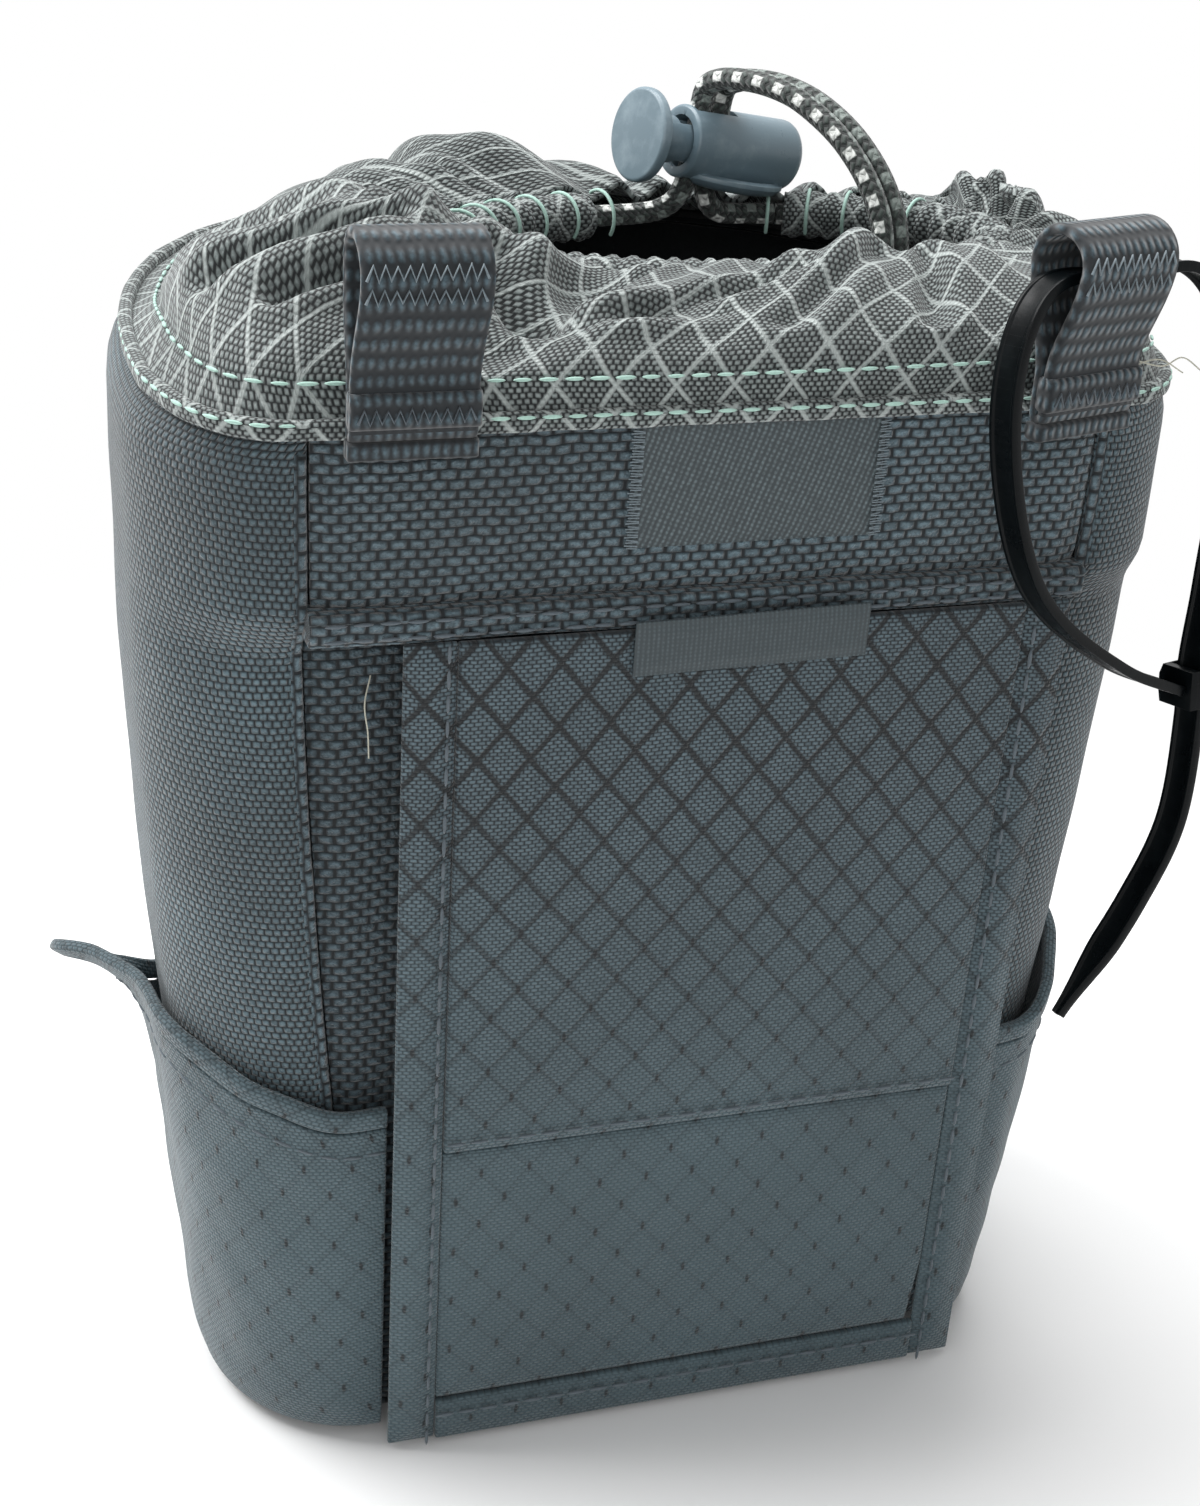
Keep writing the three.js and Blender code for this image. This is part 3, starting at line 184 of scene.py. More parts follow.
class ClothMesh:
    """Collects points, faces and each corner's place on the flat cloth, in metres."""

    def __init__(self) -> None:
        """Starts empty."""
        self.points: list[Vector] = []
        self.faces: list[tuple[int, ...]] = []
        self.places: list[Table] = []

    def add(self, face: Iterable[int], places: Iterable[Pair]) -> None:
        """Adds one face and the places of its corners on the cloth."""
        self.faces.append(tuple(face))
        self.places.append(tuple(places))

    def loft(self, rings: Sequence[Sequence[Vector]], flat: Callable[[Vector], Pair], closed: bool = False) -> None:
        """Adds rings of points and the faces between them.

        Args:
            rings: The rings, each with the same count of points.
            flat: Gives a point's place on the cloth.
            closed: True if the last ring is joined to the first.
        """
        sides = len(rings[0])
        for ring in rings:
            self.points.extend(ring)
        for j in range(len(rings) if closed else len(rings) - 1):
            low, high = j * sides, (j + 1) % len(rings) * sides
            for i in range(sides):
                n = (i + 1) % sides
                self.add_flat((low + i, low + n, high + n, high + i), flat)

    def cap(self, flat: Callable[[Vector], Pair], sides: int) -> None:
        """Closes the first and the last ring of points, of so many sides, with flat faces."""
        for start in (0, len(self.points) - sides):
            self.add_flat(range(start, start + sides), flat)

    def add_flat(self, face: Sequence[int], flat: Callable[[Vector], Pair]) -> None:
        """Adds one face whose corners' places are found from their points."""
        self.add(face, [flat(self.points[k]) for k in face])

    def build(self, name: str) -> Object:
        """Makes the object, with its faces turned outwards and shaded smooth.

        Args:
            name: Name of the object and its mesh.

        Returns:
            The object, linked to the scene.
        """
        mesh = bpy.data.meshes.new(name)
        mesh.from_pydata(self.points, [], self.faces)
        layer = mesh.uv_layers.new(name="cloth")
        flat = [place for face in self.places for place in face]
        for corner, place in zip(layer.data, flat):
            corner.uv = place
        outward_normals(mesh)
        mesh.shade_smooth()
        return linked(name, mesh)


def linked(name: str, data: ID) -> Object:
    """A new object with its data, linked to the scene."""
    obj = bpy.data.objects.new(name, data)
    bpy.context.scene.collection.objects.link(obj)
    return obj


def outward_normals(mesh: Mesh) -> None:
    """Turns every face of a closed mesh outwards."""
    work = bmesh.new()
    work.from_mesh(mesh)
    bmesh.ops.recalc_face_normals(work, faces=work.faces)
    if work.calc_volume(signed=True) < 0:
        bmesh.ops.reverse_faces(work, faces=work.faces)
    work.to_mesh(mesh)
    work.free()


def cloth_places(grid: list[list[Vector]]) -> list[list[Pair]]:
    """Flat places of a grid's points: along each row from its middle, and up each column."""
    columns = len(grid[0])
    middle = columns // 2
    heights = [0.0] * columns
    out = []
    for j, row in enumerate(grid):
        along = [0.0]
        for a, b in zip(row, row[1:]):
            along.append(along[-1] + (b - a).length)
        if j:
            heights = [h + (p - q).length for h, p, q in zip(heights, row, grid[j - 1])]
        out.append([(a - along[middle], h) for a, h in zip(along, heights)])
    return out


def sheet_piece(name: str, outer: Surface, inner: Surface, columns: int, rows: int, ring: bool = False,
                places: Callable[[float, float], Pair] | None = None) -> Object:
    """A sheet of cloth with two faces, closed round its edges.

    Args:
        name: Name of the piece.
        outer: Its outer face, over shares from 0 to 1.
        inner: Its inner face.
        columns: Steps along it.
        rows: Steps up it.
        ring: True if its last column is its first.
        places: Place on the flat cloth, where it isn't read off the outer face.

    Returns:
        The piece.
    """
    cloth = ClothMesh()
    grids = [[[face(i / columns, j / rows) for i in range(columns + 1)] for j in range(rows + 1)]
             for face in (outer, inner)]
    flat = cloth_places(grids[0])
    if places:
        flat = [[places(i / columns, j / rows) for i in range(columns + 1)] for j in range(rows + 1)]
    across = columns if ring else columns + 1
    for grid in grids:
        for row in grid:
            cloth.points.extend(row[:across])

    def at(side: int, i: int, j: int) -> int:
        return side * across * (rows + 1) + j * across + i % across

    def add(corners: list[tuple[int, int, int]]) -> None:
        cloth.add((at(*c) for c in corners), (flat[c[2]][c[1]] for c in corners))

    for j in range(rows):
        for i in range(columns):
            add([(0, i, j), (0, i + 1, j), (0, i + 1, j + 1), (0, i, j + 1)])
            add([(1, i, j), (1, i, j + 1), (1, i + 1, j + 1), (1, i + 1, j)])
    for i in range(columns):
        add([(0, i, 0), (1, i, 0), (1, i + 1, 0), (0, i + 1, 0)])
        add([(0, i, rows), (0, i + 1, rows), (1, i + 1, rows), (1, i, rows)])
    if not ring:
        for j in range(rows):
            add([(0, 0, j), (0, 0, j + 1), (1, 0, j + 1), (1, 0, j)])
            add([(0, columns, j), (1, columns, j), (1, columns, j + 1), (0, columns, j + 1)])
    return cloth.build(name)


def sweep_piece(name: str, frames: Sequence[Frame], sections: Sequence[Sequence[Pair]],
                closed: bool = False) -> Object:
    """A section carried along frames of (place, side, up).

    Args:
        name: Name of the piece.
        frames: The frames along the way.
        sections: One section a frame, all with the same count of points.
        closed: True if the way ends where it starts.

    Returns:
        The piece, with its cloth's first direction along the way and the second round the section.
    """
    cloth = ClothMesh()
    sides = len(sections[0])
    for (place, side, up), section in zip(frames, sections):
        cloth.points.extend(place + side * s + up * u for s, u in section)
    girth = [0.0]
    ring = [Vector((s, u, 0)) for s, u in sections[len(sections) // 2]]
    for a, b in zip(ring, [*ring[1:], ring[0]]):
        girth.append(girth[-1] + (b - a).length)
    steps = len(frames) if closed else len(frames) - 1
    walked = 0.0
    for k in range(steps):
        n = (k + 1) % len(frames)
        step = (frames[n][0] - frames[k][0]).length
        for i in range(sides):
            j = (i + 1) % sides
            cloth.add((k * sides + i, n * sides + i, n * sides + j, k * sides + j),
                      ((walked, girth[i]), (walked + step, girth[i]),
                       (walked + step, girth[i + 1]), (walked, girth[i + 1])))
        walked += step
    if not closed:
        last = (len(frames) - 1) * sides
        cloth.add(range(sides), [(0.0, g) for g in girth[:sides]])
        cloth.add(range(last + sides - 1, last - 1, -1), [(walked, g) for g in girth[:sides]])
    return cloth.build(name)


def disc_piece(name: str, rings: Sequence[Sequence[Vector]]) -> Object:
    """A closed plate whose rings run from the middle of one face over its rim to the middle of the other."""
    cloth = ClothMesh()
    cloth.loft(rings, from_above)
    cloth.cap(from_above, len(rings[0]))
    return cloth.build(name)


def roll_piece(name: str, count: int, at: Callable[[float], Step], closed: bool = False) -> Object:
    """A section carried along a way that is given by shares of its length.

    Args:
        name: Name of the piece.
        count: Steps along the way.
        at: Gives the frame and the section at a share from 0 to 1.
        closed: True if the way ends where it starts.

    Returns:
        The piece.
    """
    frames, sections = zip(*(at(k / count) for k in range(count if closed else count + 1)))
    return sweep_piece(name, frames, sections, closed)


def line_frames(points: Sequence[Vector], up: Vector) -> list[Frame]:
    """Frames along a line whose up keeps as near as it can to the last one."""
    frames = []
    for k, point in enumerate(points):
        along = (points[min(k + 1, len(points) - 1)] - points[max(k - 1, 0)]).normalized()
        up = (up - along * up.dot(along)).normalized()
        frames.append((point, along.cross(up), up))
    return frames


def oval(half_width: float, half_height: float, sides: int) -> list[Pair]:
    """Points of an oval section."""
    turns = [2 * math.pi * i / sides for i in range(sides)]
    return [(half_width * math.cos(a), half_height * math.sin(a)) for a in turns]


def rounded_section(half_width: float, half_height: float, radius: float, steps: int = 3,
                    splits: int = 1) -> list[Pair]:
    """Points of a rectangle with round corners, its long sides split for bending."""
    out = []
    corners = [(1, 1, 0.0), (-1, 1, 0.5), (-1, -1, 1.0), (1, -1, 1.5)]
    for n, (sx, sy, turn) in enumerate(corners):
        for k in range(steps + 1):
            angle = math.pi * (turn + 0.5 * k / steps)
            out.append((sx * (half_width - radius) + radius * math.cos(angle),
                        sy * (half_height - radius) + radius * math.sin(angle)))
        if n in (0, 2):
            reach = half_width - radius
            for k in range(1, splits):
                out.append((sx * mix(reach, -reach, k / splits), sy * half_height))
    return out


def bevel(obj: Object, width: float, segments: int = 2, angle_degrees: float = 50) -> Object:
    """Rounds an object's sharp edges with a live Bevel modifier."""
    modifier = obj.modifiers.new("rounded edges", "BEVEL")
    modifier.width = width
    modifier.segments = segments
    modifier.limit_method = "ANGLE"
    modifier.angle_limit = math.radians(angle_degrees)
    return obj


def bake_modifiers(obj: Object) -> Object:
    """Turns an object's live modifiers into its plain mesh."""
    depsgraph = bpy.context.evaluated_depsgraph_get()
    mesh = bpy.data.meshes.new_from_object(obj.evaluated_get(depsgraph), depsgraph=depsgraph)
    obj.modifiers.clear()
    obj.data = mesh
    return obj


def dress(obj: Object, material: Material, node: str | None = None,
          body: Body = Body.POUCH) -> Object:
    """Gives a piece its material and its body, and hides the CAD node that it stands for.

    Args:
        obj: The piece.
        material: Its material.
        node: The CAD node that it stands for, if there is one.
        body: The body that it rides on.

    Returns:
        The piece.
    """
    obj.data.materials.clear()
    obj.data.materials.append(material)
    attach(obj, body.value)
    if node:
        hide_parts(node)
    log.info("%s on %s, %d faces", obj.name, body.value, len(obj.data.polygons))
    return obj


# Materials

def linear(text: str) -> tuple[float, float, float, float]:
    """Turns an sRGB colour such as #22282c into linear values."""
    parts = [int(text[i:i + 2], 16) / 255 for i in (1, 3, 5)]
    red, green, blue = (c / 12.92 if c <= 0.04045 else ((c + 0.055) / 1.055) ** 2.4 for c in parts)
    return red, green, blue, 1.0


def plug(node: Node, inputs: dict | list) -> None:
    """Sets and links a node's inputs.

    Args:
        node: The node.
        inputs: Inputs by name or number, or a list from the first on. Each has a value, or a socket or a node
            that links to it, and of a node the first output.
    """
    for key, value in inputs.items() if isinstance(inputs, dict) else enumerate(inputs):
        if isinstance(value, Node):
            value = value.outputs[0]
        if isinstance(value, NodeSocket):
            node.id_data.links.new(value, node.inputs[key])
        else:
            node.inputs[key].default_value = value


def add_node(tree: NodeTree, kind: str, inputs: dict | list = (), **settings: object) -> Node:
    """Adds a node with its settings and links.

    Args:
        tree: The tree that it goes in.
        kind: The node's type, without the first word of the shader nodes' names.
        inputs: Its inputs, as plug takes them.
        settings: The node's own properties.

    Returns:
        The node.
    """
    node = tree.nodes.new(kind if "Node" in kind else f"ShaderNode{kind}")
    for key, value in settings.items():
        setattr(node, key, value)
    plug(node, inputs)
    return node


def weave_group() -> NodeTree:
    """Group that gives the height of woven floats, set off by half from row to row like bricks.

    Its Pitch is the floats' spacing along a row and the rows' spacing. Length is a float's share of its spacing.
    """
    tree = bpy.data.node_groups.new("woven floats", "ShaderNodeTree")
    for name, kind in (("Place", "Vector"), ("Pitch", "Vector"), ("Length", "Float")):
        tree.interface.new_socket(name, in_out="INPUT", socket_type=f"NodeSocket{kind}")
    tree.interface.new_socket("Height", in_out="OUTPUT", socket_type="NodeSocketFloat")
    start = add_node(tree, "NodeGroupInput")
    rows = add_node(tree, "VectorMath", [start, start.outputs[1]], operation="DIVIDE")
    place = add_node(tree, "SeparateXYZ", [rows])
    row = add_node(tree, "Math", [place.outputs[1]], operation="FLOOR")
    moved = add_node(tree, "Math", [row, 0.5, place], operation="MULTIPLY_ADD")
    set_off = add_node(tree, "CombineXYZ", [moved, place.outputs[1]])
    part = add_node(tree, "VectorMath", [set_off], operation="FRACTION")
    off = add_node(tree, "VectorMath", [part, (0.5, 0.5, 0)], operation="SUBTRACT")
    reach = add_node(tree, "Math", [start.outputs[2], 0.5], operation="MULTIPLY")
    size = add_node(tree, "CombineXYZ", [reach, 0.5, 1.0])
    away = add_node(tree, "VectorMath", [off, size], operation="DIVIDE")
    square = add_node(tree, "VectorMath", [away, away], operation="MULTIPLY")
    fourth = add_node(tree, "VectorMath", [square, square], operation="MULTIPLY")
    sides = add_node(tree, "SeparateXYZ", [fourth])
    bands = add_node(tree, "SeparateXYZ", [square])
    arches = [add_node(tree, "Math", [1.0, bow], operation="SUBTRACT", use_clamp=True)
              for bow in (sides.outputs[0], bands.outputs[1])]
    height = add_node(tree, "Math", [arches[0], arches[1]], operation="MULTIPLY")
    add_node(tree, "NodeGroupOutput", [height])
    return tree


def lattice_group() -> NodeTree:
    """Group that gives the distance to the lines of a lattice of diamonds, and to the upright dashes at its nodes.

    Its Width and Height are the diamonds' size across and up, in metres.
    """
    tree = bpy.data.node_groups.new("diamond lattice", "ShaderNodeTree")
    for name, kind in (("Place", "Vector"), ("Width", "Float"), ("Height", "Float")):
        tree.interface.new_socket(name, in_out="INPUT", socket_type=f"NodeSocket{kind}")
    for name in ("Line", "Node"):
        tree.interface.new_socket(name, in_out="OUTPUT", socket_type="NodeSocketFloat")
    start = add_node(tree, "NodeGroupInput")
    pitch = add_node(tree, "CombineXYZ", [start.outputs[1], start.outputs[2], 1.0])
    cells = add_node(tree, "VectorMath", [start, pitch], operation="DIVIDE")
    part = add_node(tree, "VectorMath", [cells], operation="FRACTION")
    off = add_node(tree, "VectorMath", [part, (0.5, 0.5, 0)], operation="SUBTRACT")
    away = add_node(tree, "VectorMath", [off], operation="ABSOLUTE")
    total = add_node(tree, "VectorMath", [away, (1, 1, 0)], operation="DOT_PRODUCT")
    gap = add_node(tree, "Math", [total.outputs["Value"], 0.5], operation="SUBTRACT")
    apart = add_node(tree, "Math", [gap], operation="ABSOLUTE")
    flat = add_node(tree, "VectorMath", [pitch, (1, 1, 0)], operation="MULTIPLY")
    across = add_node(tree, "VectorMath", [flat], operation="LENGTH")
    area = add_node(tree, "Math", [start.outputs[1], start.outputs[2]], operation="MULTIPLY")
    scale = add_node(tree, "Math", [area, across.outputs["Value"]], operation="DIVIDE")
    slant = add_node(tree, "Math", [apart, scale], operation="MULTIPLY")
    dashes = []
    for corner in ((0.5, 0.0, 0.0), (0.0, 0.5, 0.0)):
        from_node = add_node(tree, "VectorMath", [away, corner], operation="SUBTRACT")
        real = add_node(tree, "VectorMath", [from_node, pitch], operation="MULTIPLY")
        upright = add_node(tree, "VectorMath", [real, (1, 0.35, 0)], operation="MULTIPLY")
        dashes.append(add_node(tree, "VectorMath", [upright], operation="LENGTH"))
    node = add_node(tree, "Math", [dashes[0].outputs["Value"], dashes[1].outputs["Value"]], operation="MINIMUM")
    add_node(tree, "NodeGroupOutput", [slant, node])
    return tree


WEAVE = weave_group()
LATTICE = lattice_group()


def new_material(name: str) -> tuple[Material, NodeTree, Node]:
    """An empty material, its tree and its shader."""
    material = bpy.data.materials.new(name)
    material.use_nodes = True
    tree = material.node_tree
    tree.nodes.clear()
    shader = add_node(tree, "BsdfPrincipled")
    add_node(tree, "OutputMaterial", {"Surface": shader})
    return material, tree, shader


@dataclass(frozen=True)
class WovenCloth:
    """Woven nylon whose floats show one by one, with the lattice of a ripstop where it has one."""

    name: str
    dark: str
    light: str
    float_pitch: Pair
    float_share: float
    relief: float
    roughness: float
    sheen: float
    line: str | None = None
    line_width: float = 0.00036
    line_relief: float = 0.00018
    line_share: float = 0.75
    node: str | None = None
    cell: Pair = (0.0062, 0.0076)
    node_width: float = 0.00032
    node_share: float = 0.9
    line_fade: tuple[float, float, float] = (0.04, 0.09, 0.14)
    worn_below: Pair | None = None
    worn: str | None = None
    worn_share: float = 0.7
    waver: float = 0.00022
    cast: float = 0.3

    def build(self) -> Material:
        """Makes the material."""
        material, tree, shader = new_material(self.name)
        cloth = add_node(tree, "UVMap", uv_map="cloth")
        body = add_node(tree, "TexCoord").outputs["Object"]
        lumps = add_node(tree, "TexNoise", {"Vector": body, "Scale": 330.0, "Detail": 2.0})
        stray = add_node(tree, "VectorMath", [lumps.outputs["Color"], (0.5, 0.5, 0.5)], operation="SUBTRACT")
        bent = add_node(tree, "VectorMath", [stray, (2 * self.waver,) * 3], operation="MULTIPLY")
        place = add_node(tree, "VectorMath", [cloth, bent])
        weave = add_node(tree, "Group", [place, (*self.float_pitch, 1), self.float_share], node_tree=WEAVE)
        fuzz = add_node(tree, "TexNoise", {"Vector": body, "Scale": 1900.0, "Detail": 2.0})
        tuft = add_node(tree, "MapRange", [fuzz, 0.3, 0.7, 0.55, 1.25])
        lit = add_node(tree, "Math", [weave, tuft], operation="MULTIPLY", use_clamp=True)
        colour = add_node(tree, "Mix", {0: lit, 6: linear(self.dark), 7: linear(self.light)},
                          data_type="RGBA").outputs[2]
        height = add_node(tree, "Math", [lit, self.relief], operation="MULTIPLY")
        up = add_node(tree, "SeparateXYZ", [body]).outputs[2]
        if self.worn_below:
            low, high = self.worn_below
            blend = add_node(tree, "MapRange", [up, low, high, self.worn_share, 0.0])
            colour = add_node(tree, "Mix", {0: blend, 6: colour, 7: linear(self.worn)}, data_type="RGBA").outputs[2]
        if self.line:
            lattice = add_node(tree, "Group", [place, *self.cell], node_tree=LATTICE)
            fading = add_node(tree, "MapRange", [up, *self.line_fade, self.line_share])
            marks = [("Line", self.line, self.line_width, self.line_relief, fading)]
            if self.node:
                marks.append(("Node", self.node, self.node_width, -0.5 * self.line_relief, self.node_share))
            for output, tint, width, raised, strength in marks:
                near = add_node(tree, "MapRange", [lattice.outputs[output], 0.35 * width, width, 1.0, 0.0],
                                interpolation_type="SMOOTHSTEP")
                mask = add_node(tree, "Math", [near, strength], operation="MULTIPLY")
                colour = add_node(tree, "Mix", {0: mask, 6: colour, 7: linear(tint)}, data_type="RGBA").outputs[2]
                height = add_node(tree, "Math", [mask, raised, height], operation="MULTIPLY_ADD")
        patches = add_node(tree, "TexNoise", {"Vector": body, "Scale": 38.0, "Detail": 3.0})
        tone = add_node(tree, "MapRange", [patches, 0.3, 0.7, 1 - self.cast, 1 + self.cast])
        toned = add_node(tree, "VectorMath", [colour, tone], operation="MULTIPLY")
        rough = add_node(tree, "MapRange", {0: weave, 3: min(1.0, self.roughness + 0.15), 4: self.roughness})
        bump = add_node(tree, "Bump", {"Height": height, "Distance": 1.0, "Strength": 1.0})
        plug(shader, {"Base Color": toned, "Roughness": rough, "Normal": bump, "Sheen Weight": self.sheen,
                      "Sheen Roughness": 0.45, "Specular IOR Level": 0.4})
        return material


@dataclass(frozen=True)
class RibbedTape:
    """Woven tape with ribs across it and rows of small bright floats, for webbing and labels."""

    name: str
    dark: str
    light: str
    rib_pitch: float
    float_pitch: float
    relief: float
    roughness: float = 0.8
    sheen: float = 0.3
    slant: float = 0.0
    comb: float = 0.45

    def build(self) -> Material:
        """Makes the material."""
        material, tree, shader = new_material(self.name)
        cloth = add_node(tree, "UVMap", uv_map="cloth")
        turned = add_node(tree, "Mapping", {"Vector": cloth, "Rotation": (0, 0, self.slant)})
        ribs, floats = (add_node(tree, "TexWave", {"Vector": turned, "Scale": 0.314159 / pitch, "Distortion": bent,
                                                   "Detail": 1.0, "Detail Scale": 2.5}, bands_direction=way)
                        for pitch, bent, way in ((self.rib_pitch, 0.9, "X"), (self.float_pitch, 1.6, "Y")))
        body = add_node(tree, "TexCoord").outputs["Object"]
        fuzz = add_node(tree, "TexNoise", {"Vector": body, "Scale": 2200.0, "Detail": 2.0})
        comb = add_node(tree, "MapRange", {0: floats.outputs["Fac"], 3: self.comb, 4: 1.0})
        mixed = add_node(tree, "Math", [ribs.outputs["Fac"], comb], operation="MULTIPLY")
        broken = add_node(tree, "Math", [mixed, fuzz], operation="MULTIPLY")
        share = add_node(tree, "MapRange", [broken, 0.08, 0.55])
        shade = add_node(tree, "Mix", {0: share, 6: linear(self.dark), 7: linear(self.light)}, data_type="RGBA")
        bump = add_node(tree, "Bump", {"Height": mixed, "Distance": self.relief, "Strength": 1.0})
        plug(shader, {"Base Color": shade.outputs[2], "Normal": bump, "Roughness": self.roughness,
                      "Sheen Weight": self.sheen, "Sheen Roughness": 0.5})
        return material


@dataclass(frozen=True)
class MouldedPlastic:
    """Moulded plastic with a fine spark-eroded skin and faint scuffs."""

    name: str
    colour: str
    worn: str
    roughness: float
    grain: float = 0.00025
    relief: float = 0.000012
    teeth_pitch: float = 0.0
    gloss: float = 0.5

    def build(self) -> Material:
        """Makes the material."""
        material, tree, shader = new_material(self.name)
        body = add_node(tree, "TexCoord").outputs["Object"]
        skin = add_node(tree, "TexNoise", {"Vector": body, "Scale": 1 / self.grain, "Detail": 2.0})
        scuffs = add_node(tree, "TexNoise", {"Vector": body, "Scale": 210.0, "Detail": 6.0, "Roughness": 0.65})
        wear = add_node(tree, "MapRange", [scuffs, 0.5, 0.75])
        shade = add_node(tree, "Mix", {0: wear, 6: linear(self.colour), 7: linear(self.worn)}, data_type="RGBA")
        rough = add_node(tree, "MapRange", [scuffs, 0.3, 0.7, self.roughness - 0.07, self.roughness + 0.12])
        height = add_node(tree, "Math", [skin, self.relief], operation="MULTIPLY")
        if self.teeth_pitch:
            cloth = add_node(tree, "UVMap", uv_map="cloth")
            along = add_node(tree, "SeparateXYZ", [cloth])
            tooth = add_node(tree, "Math", [along, 1 / self.teeth_pitch], operation="MULTIPLY")
            saw = add_node(tree, "Math", [tooth], operation="FRACT")
            height = add_node(tree, "Math", [saw, 0.12 * self.teeth_pitch, height], operation="MULTIPLY_ADD")
        bump = add_node(tree, "Bump", {"Height": height, "Distance": 1.0, "Strength": 0.7})
        plug(shader, {"Base Color": shade.outputs[2], "Roughness": rough, "Normal": bump, "IOR": 1.5,
                      "Specular IOR Level": self.gloss})
        return material


@dataclass(frozen=True)
class BraidedCord:
    """Elastic cord with a braided cover, dark with two rows of white flecks and two dimmer rows between them."""

    name: str
    dark: str
    light: str
    fleck: str
    pale: str
    diameter: float
    fleck_pitch: float = 0.0029
    fleck_reach: Pair = (0.00052, 0.0007)
    braid_pitch: float = 0.0007
    float_share: float = 0.8

    def build(self) -> Material:
        """Makes the material. The cloth place runs along the cord, then round it."""
        material, tree, shader = new_material(self.name)
        girth = math.pi * self.diameter
        cloth = add_node(tree, "UVMap", uv_map="cloth")
        turned = add_node(tree, "Mapping", {"Vector": cloth, "Rotation": (0, 0, math.pi / 4)})
        weave = add_node(tree, "Group", [turned, (2 * self.braid_pitch, self.braid_pitch, 1), self.float_share],
                         node_tree=WEAVE)
        colour = add_node(tree, "Mix", {0: weave, 6: linear(self.dark), 7: linear(self.light)},
                          data_type="RGBA").outputs[2]
        bright, dim = (0.0, self.fleck, 0.95), (0.5, self.pale, 0.75)
        for turn, (offset, tint, strength) in ((0.16, bright), (0.40, dim), (0.66, bright), (0.90, dim)):
            moved = add_node(tree, "VectorMath", [cloth, (-offset * self.fleck_pitch, -turn * girth, 0)])
            repeat = add_node(tree, "VectorMath", [moved, (self.fleck_pitch, girth, 1)], operation="DIVIDE")
            part = add_node(tree, "VectorMath", [repeat], operation="FRACTION")
            off = add_node(tree, "VectorMath", [part, (0.5, 0.5, 0)], operation="SUBTRACT")
            real = add_node(tree, "VectorMath", [off, (self.fleck_pitch, girth, 0)], operation="MULTIPLY")
            away = add_node(tree, "VectorMath", [real], operation="ABSOLUTE")
            sides = add_node(tree, "SeparateXYZ", [away])
            far = add_node(tree, "Math", [sides, sides.outputs[1]], operation="MAXIMUM")
            mask = add_node(tree, "MapRange", [far, *self.fleck_reach, strength, 0.0],
                            interpolation_type="SMOOTHSTEP")
            colour = add_node(tree, "Mix", {0: mask, 6: colour, 7: linear(tint)}, data_type="RGBA").outputs[2]
        bump = add_node(tree, "Bump", {"Height": weave, "Distance": 0.00025, "Strength": 1.0})
        plug(shader, {"Base Color": colour, "Normal": bump, "Roughness": 0.72, "Sheen Weight": 0.3})
        return material


@dataclass(frozen=True)
class FibreOrFoam:
    """A fine stuff whose colour clouds a little: brushed lining, foam, spun thread, or steel wire."""

    name: str
    dark: str
    light: str
    grain: float
    relief: float
    roughness: float = 0.95
    sheen: float = 0.2
    metallic: float = 0.0

    def build(self) -> Material:
        """Makes the material."""
        material, tree, shader = new_material(self.name)
        body = add_node(tree, "TexCoord").outputs["Object"]
        fuzz = add_node(tree, "TexNoise", {"Vector": body, "Scale": 1 / self.grain, "Detail": 4.0, "Roughness": 0.7})
        shade = add_node(tree, "Mix", {0: fuzz, 6: linear(self.dark), 7: linear(self.light)}, data_type="RGBA")
        bump = add_node(tree, "Bump", {"Height": fuzz, "Distance": self.relief, "Strength": 0.8})
        plug(shader, {"Base Color": shade.outputs[2], "Normal": bump, "Roughness": self.roughness,
                      "Sheen Weight": self.sheen, "Metallic": self.metallic})
        return material


